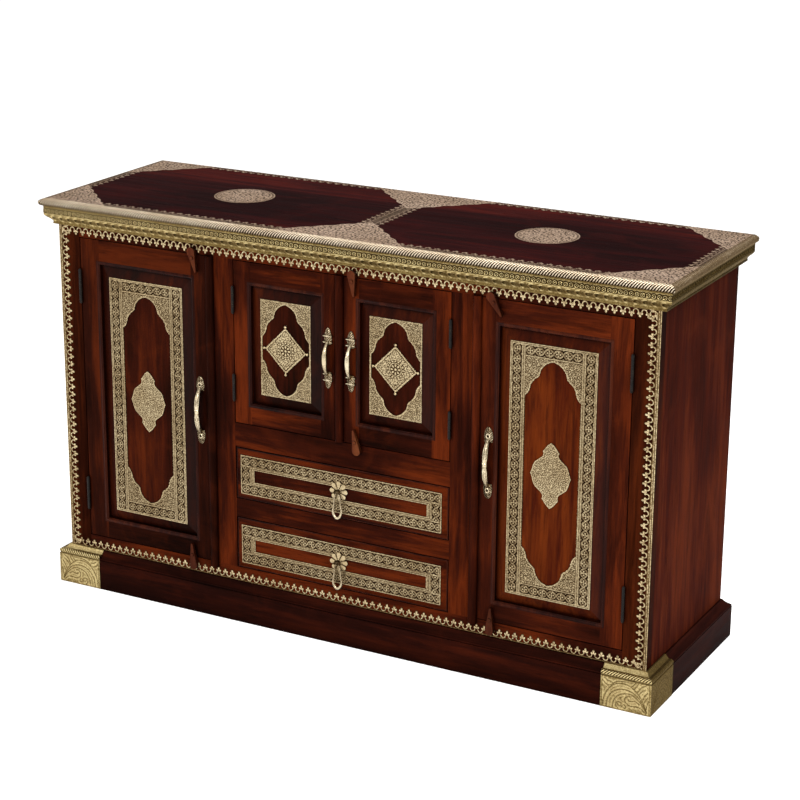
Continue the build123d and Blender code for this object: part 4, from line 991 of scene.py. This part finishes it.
def build_crests():
    """Two level strips between two upright ones, which stand on a rail."""
    level_depth, upright_depth, end_gap = 22.5, 28.5, 9.0
    level = crest_strip(2 * (carcass_half - end_gap), level_depth, 0, crest_pitch / 2)
    upright = crest_strip(crest_high[2] - crest_low[2], upright_depth, side_strip_rail, 4.0)
    top = placed(level, (0, carcass_front, crest_high[2]), *HANGING)
    bottom = placed(level, (0, carcass_front, crest_low[2]), *FRONT)
    right = placed(upright, (carcass_half, carcass_front, (crest_low[2] + crest_high[2]) / 2), *SIDEWAYS)
    pairs = {"crest_strips_level": [top, bottom], "crest_strips_upright": [right, mirrored_x(right)]}
    for name, strips in pairs.items():
        piece = make_piece(name, joined(strips), "carcass", crest_brass)
        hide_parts("crest_strips")


build_crests()


# ---------------------------------------------------------------- cornice and nosing
def circle_through(a, b, c):
    """Centre and radius of the circle through three points."""
    a, b, c = np.array(a), np.array(b), np.array(c)
    centre = np.linalg.solve(2 * np.array([b - a, c - a]), [b @ b - a @ a, c @ c - a @ a])
    return centre, np.hypot(*(a - centre))


def profile_run(profile, count):
    """Even points along a profile of (out, z): their distances along it, out, z and outward normals."""
    profile = np.array(profile, float)
    lengths = np.r_[0, np.cumsum(np.hypot(*np.diff(profile, axis=0).T))]
    s = np.linspace(0, lengths[-1], count)
    points = np.stack([np.interp(s, lengths, profile[:, 0]), np.interp(s, lengths, profile[:, 1])], 1)
    tangents = np.gradient(points, axis=0)
    tangents /= np.linalg.norm(tangents, axis=1)[:, None]
    normals = np.stack([-tangents[:, 1], tangents[:, 0]], 1)
    return s, *points.T, normals


def relief_run(s, out, z, normals, along, surface):
    """The out and z of a profile's points at some places along its run, with relief on them, and the tones."""
    height, tone = surface(along, np.broadcast_to(s, along.shape))
    return out + height * normals[:, 0], z + height * normals[:, 1], tone


def cornice_surface(along, s):
    """Rings on the upright band, running scrolls on the ogee and a plain lip."""
    ring_line, scroll_line, scroll_scale = 10.6, 32.5, 0.56
    ring = np.hypot(fold(along, ring_row_pitch), s - ring_line)
    rings = np.maximum(round_ridge(ring - 3.9, 1.2), round_ridge(ring, 1.5))
    groove = np.maximum(round_ridge(ring - 5.5, 0.9), round_ridge(ring - 2.2, 0.8))
    band = (s > 4.4) & (s < 16.8)
    layer = laid_over(band, (1.5 * rings - 0.9 * groove, 0.42 + 0.58 * rings - 0.75 * groove), (0.0, 0.5))

    b, row = fold(along, scroll_row_pitch), scroll_scale * (scroll_line - s)
    stem, rim = (
        np.minimum(stroke_distance(b, row, line), stroke_distance(b + next_cell, row, line))
        for line, next_cell in ((scroll_stem, scroll_row_pitch), (scroll_rim, -scroll_row_pitch))
    )
    line = np.maximum(0.9 * round_ridge(stem, 1.1), smooth(2.8, 1.8, np.hypot(b, row)))
    ridge = round_ridge(rim, 1.3) * (1 - line)
    ogee = (s > 17.6) & (s < 43)
    height, tone = laid_over(ogee, (0.32 * ridge - 0.35 * line, 0.6 + 0.34 * ridge - 0.48 * line), layer)
    edge = np.maximum(round_ridge(s - 17.3, 0.8), round_ridge(s - 3.6, 0.7))
    return height + 0.3 * edge, np.clip(tone + 0.35 * edge, 0, 1)


scroll_stem = curve([(0.4, 0.8), (1.4, 2.6), (3.6, 3.9), (6.6, 4.2)])
scroll_rim = curve([(2.2, -4.4), (-1.6, -4.2), (-4.2, -1.6), (-4.0, 1.8), (-1.6, 4.6), (2.4, 6.2), (7.6, 6.4)])


def cornice_end_surface(along, s):
    """The same ornament, flatter, and darkened with painted shade, for the two ends."""
    height, tone = cornice_surface(along, s)
    return 0.5 * height, -0.04 + 0.4 * tone


def rope_surface(along, s):
    """Slanted strands, paler where they turn over the top with a painted highlight, and darker lower down with
    painted shade; the grooves are shallower on the top.
    """
    strand, top_of_nose = strands(along + 0.62 * s, rope_pitch), smooth(14, 5, s)
    tone = smooth(0.45, 0.96, strand) * smooth(36, 14, s) ** 0.7
    return (-2.8 + 1.6 * top_of_nose) * (1 - strand**0.8), np.maximum(tone, 0.6 * top_of_nose)


def rope_end_surface(along, s):
    """Worn strands, nearly smooth, for the two ends, darkened with painted shade that deepens towards the
    bottom.
    """
    strand, groove = strands(along + 0.62 * s, rope_pitch), round_ridge(s - 1.6, 1.2)
    wear_and_painted_light = 0.36 - 0.16 * smooth(6, 28, s) - 0.3 * groove
    return -0.7 * (1 - strand) - 0.5 * groove, wear_and_painted_light + 0.3 * strand


def moulded_front(profile, extra, rows, step, surface):
    """The run along the front: its ends are cut where the end runs meet it."""
    s, out, z, normals = profile_run(profile, rows)
    limit = carcass_half + out + extra
    along = np.linspace(-1, 1, int(2 * carcass_half / step))[:, None] * limit
    rise, level, tone = relief_run(s, out, z, normals, along, surface)
    cut = np.sign(along) * np.minimum(np.abs(along), carcass_half + rise + extra)
    x = np.where(np.abs(along) > limit - 1.0, cut, along)
    return flipped(grid_skin(np.stack([x, carcass_front - rise, level], -1), tone))


def moulded_side(profile, extra, rows, step, surface):
    """The run along the right end, from the front corner to the back, with a lid on its back end."""
    s, out, z, normals = profile_run(profile, rows)
    start, back = carcass_front - out + extra, top_high[1]
    along = start + np.linspace(0, 1, int((back - carcass_front) / step))[:, None] * (back - start)
    rise, level, tone = relief_run(s, out, z, normals, along, surface)
    grid = np.stack([carcass_half + rise, along, level], -1)
    edge = grid[-1, z > z[-1] + 0.05]
    lid = grid_skin(np.stack([edge, edge * (0, 1, 1) + (carcass_half, 0, 0)]), 0.1)
    return flipped(joined([grid_skin(grid, tone), lid]))


def build_cornice():
    """The cornice and the nosing, each with a run along the front and one along each end."""
    nose_r, band_height, ogee_drop, ogee_reach, lip_height = 8.5, 18.0, 20.0, 15.5, 4.0
    under_z, low_z = cornice_high[2], cornice_low[2]
    side_out, front_out = top_high[0] - nose_r - carcass_half, carcass_front - (top_low[1] + nose_r)
    extra = side_out - front_out

    def profile(out):
        rows, ogee_top = [(out, under_z)], under_z - band_height
        for t in np.linspace(0, 1, 13):
            rows.append((out - ogee_reach * (1 - cos(pi * t)) / 2, ogee_top - ogee_drop * t))
        lip = out - ogee_reach + 0.8
        return rows + [(lip, low_z + lip_height), (lip, low_z), (0.0, low_z)]

    def nose(out):
        """A round nose whose upper half reaches further in over the top."""
        rows = []
        for t in np.linspace(pi / 2, -pi / 2, 25):
            reach = nose_r + (nose_inset if t > 0 else 0.0)
            rows.append((out + nose_r - reach * (1 - cos(t)), under_z + nose_r + nose_r * sin(t)))
        return rows

    front = moulded_front(profile(front_out), extra, 62, 0.95, cornice_surface)
    side = moulded_side(profile(side_out), extra, 60, 1.1, cornice_end_surface)
    for name, parts in (("cornice_front", [front]), ("cornice_ends", [side, mirrored_x(side)])):
        piece = make_piece(name, joined(parts), "carcass", cornice_brass)
        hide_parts("cornice")

    front = moulded_front(nose(front_out), extra, 24, 0.8, rope_surface)
    side = moulded_side(nose(side_out), extra, 20, 1.0, rope_end_surface)
    parts = [front, side, mirrored_x(side)]
    piece = make_piece("nosing_rope", joined(parts), "carcass", nose_brass, 80)
    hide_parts("nosing")


build_cornice()


# ---------------------------------------------------------------- top brass
def build_overlay():
    """The brass on the top: its border and cross band round two fields with cut corners, and two medallions."""
    low, high = box_mm("top_overlay")
    field_outer, field_inner = 719.0, 28.5
    field_front, field_back = -197.0, 216.0
    cut, depth = 102.0, 19.0
    centre_x, centre_y = (field_outer + field_inner) / 2, (field_front + field_back) / 2
    half_x, half_y = (field_outer - field_inner) / 2, (field_back - field_front) / 2

    def relief(height):
        return 0.25 + 0.5 * np.clip(height, 0, 1)

    def places(u, v):
        """Distances into a field from its short and long sides, and the distance in from its cut corner."""
        ex, ey = half_x - np.abs(np.abs(u) - centre_x), half_y - np.abs(v - centre_y)
        slide = (ex - ey) / np.sqrt(2)
        wave = 5.0 * np.abs(np.cos(pi * slide / 48)) - 2.0
        return ex, ey, (ex + ey - cut) / np.sqrt(2) + 0.5 - wave * smooth(78, 60, np.abs(slide))

    def crests(u, v, ex, ey):
        return crest(v + 4, ex + depth, fringe_pitch, depth), crest(u + 4, ey + depth, fringe_pitch, depth)

    def shape(u, v):
        ex, ey, corner = places(u, v)
        short_side, long_side = crests(u, v, ex, ey)
        fringes = np.where(ey < -depth, 50, short_side[0]), np.where(ex < -depth, 50, long_side[0])
        return lowest(*fringes, corner, np.minimum(ex, ey) + depth)

    def surface(u, v):
        ex, ey, corner = places(u, v)
        short_side, long_side = crests(u, v, ex, ey)
        layer = laid_over(ex < ey, short_side[1:], long_side[1:])
        lip, in_corner = round_ridge(-corner - 1.8, 1.7), corner < 0
        height, tone = arabesque(u, v, 15.0, 7.0, 41)
        filling = np.maximum(0.8 * height, lip), np.maximum(0.05 + 0.95 * tone, lip)
        layer = laid_over(in_corner, filling, layer)
        border = np.minimum(ex, ey) + depth
        height, tone = arabesque(u, v, 12.0, 6.5, 43)
        height, tone = laid_over((border < 0) & ~in_corner, (0.8 * height, 0.02 + 0.4 * tone), layer)
        line = 0.8 * round_ridge(border + 1.2, 1.2) * ~in_corner
        return relief(np.maximum(height, line)), np.clip(np.maximum(tone, line), 0, 1)

    u_ends, v_ends = (low[0] + nose_inset, high[0] - nose_inset), (low[1] + nose_inset, high[1])
    sheet = placed(relief_sheet(u_ends, v_ends, overlay_step, shape, surface), (0, 0, low[2]), *TOP)
    piece = make_piece("top_brasswork", sheet, "carcass", top_brass)
    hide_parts("top_overlay")

    low, high = box_mm("top_medallions")
    radius = 69.0

    def medal_surface(u, v):
        r, angle = polar(u, v)
        height, tone = arabesque(u + 70, v + 70, 14.0, 6.8, 47)
        beads = round_ridge(np.hypot(r - 64.1, fold(angle, tau / 90) * 64), 1.4)
        rims = [round_ridge(r - line, half) for line, half in ((67.2, 1.4), (61.0, 1.1), (20, 1.2))]
        rims = highest(*rims, 0.8 * beads)
        inner = np.maximum(0.8 * height, rims), np.maximum(0.05 + 0.95 * tone, rims)
        height, tone = laid_over(r > 60.5, (rims, 0.3 + 0.7 * rims), inner)
        return relief(height), np.clip(tone, 0, 1)

    ends = (-radius, radius)
    medal = relief_sheet(ends, ends, 1.1, lambda u, v: np.hypot(u, v) - radius, medal_surface)
    x, y = high[0] - radius, (low[1] + high[1]) / 2
    medals = [placed(medal, (side * x, y, low[2]), *TOP) for side in (-1, 1)]
    piece = make_piece("top_medallion_brasswork", joined(medals), "carcass", top_brass)
    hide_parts("top_medallions")


build_overlay()


# ---------------------------------------------------------------- plinth caps
cap_plume = [
    [(106, 3), (104, 20), (98, 36), (88, 50), (74, 59), (58, 61), (44, 57), (30, 46), (18, 31), (8, 9)],
    [(98, 3), (95.5, 20), (88.5, 33), (77.5, 43), (62.5, 48), (46, 47), (31, 40), (19, 27), (8, 8)],
    [(84, 3), (83, 14), (78, 25), (70, 34), (58, 39), (44, 40), (30, 33), (18, 21), (8, 6)],
    [(44, 35), (50, 35), (55, 31), (57, 25), (53, 18), (45, 14), (34, 15), (22, 14), (9, 4)],
    [(50, 28), (46, 25), (40, 26), (33, 27), (24, 22)],
    [(73, 15), (71, 11), (67, 10), (64, 13), (66, 17), (71, 18), (76, 15), (76, 8), (71, 3)],
    [(61, 9), (57, 6), (54, 9), (56, 13), (61, 13), (64, 8)],
    [(109, 62), (103, 55), (95, 51), (88, 53), (80, 60), (68, 65), (50, 66), (40, 66)],
    [(103, 66), (96, 61), (88, 60)],
    [(30, 46), (26, 54), (20, 62), (11, 67)],
    [(27, 43), (20, 52), (12, 58)],
    [(44, 57), (38, 63), (34, 68)],
    [(38, 52), (32, 60), (28, 68)],
    [(17, 34), (13, 44), (7, 52)],
    [(14, 28), (10, 36), (6, 42)],
    [(9, 14), (7, 24), (5, 34)],
    [(104, 12), (109, 18), (109, 40)],
]
cap_lines = [curve(line) for line in cap_plume]
cap_face_top = 71.0


def cap_surface(along, s, length, front):
    """Engraved acanthus on the face, a rope on the bead and a plain cove. along runs from the corner."""
    line = lowest(*(stroke_distance(along, s, points) for points in cap_lines))
    border = lowest(along - 3.4, length - 3.8 - along, s - 2.6, 68.6 - s)
    inside = border > 1.5
    dots = 0.6 + 0.4 * np.cos(tau * (along + s) / 3.2)
    swell = np.exp(-((line - 3.4) / 2.4) ** 2) * (border > 0)
    hatch = (0.5 + 0.5 * np.cos(tau * line / 2.5)) * (line > 1.4) * (line < 6.5) * inside
    stipple = round_ridge(scatter(along, s, 4.4, 53)[2], 0.8) * (line > 6.0) * inside
    outlines, frame_line = round_ridge(line, 0.7) * (border > 0), 0.8 * round_ridge(border, 0.8) * dots
    groove = highest(outlines, frame_line, 0.5 * stipple, 0.4 * hatch)
    depth = 1.0 if front else 0.6
    face = s < cap_face_top
    height = np.where(face, (0.3 * swell - 0.6 * groove) * depth, 0.0)
    tone = np.where(face, 0.66 + (0.3 * swell - 0.46 * groove) * depth, 0.75)
    strand = strands(along + 0.8 * s, cap_rope_pitch)
    rope_zone = smooth(74.0, 77.0, s) * smooth(90.0, 86.0, s)
    height = height - 1.1 * (1 - strand) * rope_zone * depth
    tone = tone + ((smooth(0.3, 0.9, strand) if front else 0.6) - tone) * rope_zone
    seam = round_ridge(s - 71.8, 1.3)
    # The side run takes half the tone: painted shade on the cap's side face.
    return height, np.clip(tone - 0.6 * seam if front else 0.5 * tone - 0.2 * seam, 0, 1)


def build_caps():
    """The right cap, a front and a side that meet at the corner, and its mirror image."""
    low, high = box_mm("plinth_corner_caps")
    plinth_low, plinth_high = box_mm("plinth_front")
    corner_x, corner_y = plinth_high[0], plinth_low[1]
    front_length, side_length, bead_r = 112.0, 118.0, 5.6
    thick, top, face_top = high[0] - corner_x, high[2], cap_face_top
    turns = np.linspace(-pi / 4, pi / 2 - 0.1, 14)
    bead = [(-4.2 + bead_r * cos(t), face_top + 6.2 + bead_r * sin(t)) for t in turns]
    cove_ends = (-3.0, face_top + 5.0), (-17.5, face_top + 19.0)
    centre, radius = circle_through(cove_ends[0], (-10.25, face_top + 10.5), cove_ends[1])
    turns = [np.arctan2(z - centre[1], x - centre[0]) % tau for x, z in cove_ends]
    radius -= thick
    cove = [(centre[0] + radius * cos(t), centre[1] + radius * sin(t)) for t in np.linspace(*turns, 12)]
    profile = [(thick, low[2]), (thick, face_top), (-0.7, face_top + 0.6), (-0.3, face_top + 1.6)] + bead
    profile += [(x, z) for x, z in cove if x < -9.2] + [(-17.3, top), (-20.5, top)]
    s, out, z, normals = profile_run(profile[::-1], 118)

    def run(length, front):
        along = -out + np.linspace(0, 1, int(length / 0.85))[:, None] * (length + out)
        surface = lambda u, v: cap_surface(u, v, length, front)
        return along, *relief_run(s[-1] - s, out, z, normals, along, surface)

    along, rise, level, tone = run(front_length, True)
    front = grid_skin(np.stack([corner_x - along, corner_y - rise, level], -1)[::-1], tone[::-1])
    along, rise, level, tone = run(side_length, False)
    side = grid_skin(np.stack([corner_x + rise, corner_y + along, level], -1), tone)
    right = flipped(joined([front, side]))
    caps = joined([right, mirrored_x(right)])
    piece = make_piece("plinth_cap_brasswork", caps, "carcass", cornice_brass, 60)
    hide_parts("plinth_corner_caps")


build_caps()


# ---------------------------------------------------------------- stage, light and camera
def build_floor():
    """A pale floor that glows where a ray from the camera, a reflection or a pane sees it."""
    half = 26.0
    mesh = bpy.data.meshes.new("floor")
    corners = [(x * half, y * half, 0) for x, y in ((-1, -1), (1, -1), (1, 1), (-1, 1))]
    mesh.from_pydata(corners, [], [(0, 1, 2, 3)])
    floor = add_object("floor", mesh)
    n = Nodes(bpy.data.materials.new("floor_pale"))
    path = n.add("ShaderNodeLightPath").outputs
    seen = n.plus(path["Is Camera Ray"], path["Is Glossy Ray"])
    seen = n.math("ADD", seen, path["Is Transmission Ray"], clamp=True)
    glow = {"Emission Color": (1, 1, 1, 1), "Emission Strength": n.times(seen, 0.56)}
    surface = {"Base Color": (0.9, 0.9, 0.9, 1), "Roughness": 0.9, "Specular IOR Level": 0.1}
    mesh.materials.append(n.shaded(surface | glow))


def build_world():
    """White to the same rays, and to the others a grey sky that is dark below."""
    world = bpy.data.worlds.new("studio")
    bpy.context.scene.world = world
    n = Nodes(world)
    path = n.add("ShaderNodeLightPath").outputs
    seen = path["Is Camera Ray"]
    for kind in ("Is Glossy Ray", "Is Transmission Ray"):
        seen = n.math("MAXIMUM", seen, path[kind])
    up = n.parts(n.add("ShaderNodeTexCoord").outputs["Generated"])["Z"]
    sky = n.ramp(up, [(0.28, (0.04, 0.04, 0.042, 1)), (0.85, (0.75, 0.75, 0.75, 1))])
    n.feed(n.tree.nodes["Background"], {"Color": n.mix(seen, sky, (1, 1, 1, 1))})


def area_light(name, place, target, size, power):
    """A rectangular lamp at a place in metres, turned towards its target."""
    data = bpy.data.lights.new(name, "AREA")
    data.shape = "RECTANGLE"
    data.size, data.size_y = size
    data.energy = power
    lamp = add_object(name, data)
    lamp.location = place
    lamp.rotation_euler = (Vector(target) - Vector(place)).to_track_quat("-Z", "Y").to_euler()


def build_camera():
    """The photograph's own view, in metres and in this frame."""
    place = Vector((2.2356, -4.1066, 2.0303))
    forward = Vector((-0.4493, 0.8375, -0.3109)).normalized()
    right = Vector((0.8802, 0.4745, 0.0064))
    right = (right - right.dot(forward) * forward).normalized()
    data = bpy.data.cameras.new("camera")
    data.sensor_width, data.lens, data.clip_end = 36.0, 99.45, 100.0
    camera = add_object("camera", data)
    turn = Matrix((right, right.cross(forward), -forward)).transposed()
    camera.matrix_world = Matrix.Translation(place) @ turn.to_4x4()
    bpy.context.scene.camera = camera


build_floor()
build_world()
area_light("key", (1.9, -3.6, 3.0), (0.1, -0.1, 0.45), (2.0, 1.6), 105)
area_light("fill", (-3.2, -3.2, 2.0), (-0.1, 0, 0.45), (2.2, 2.2), 36)
area_light("over", (0.2, 0.5, 3.6), (0, 0, 0.9), (3.2, 2.2), 80)
build_camera()
bpy.context.scene.view_settings.view_transform = "Standard"
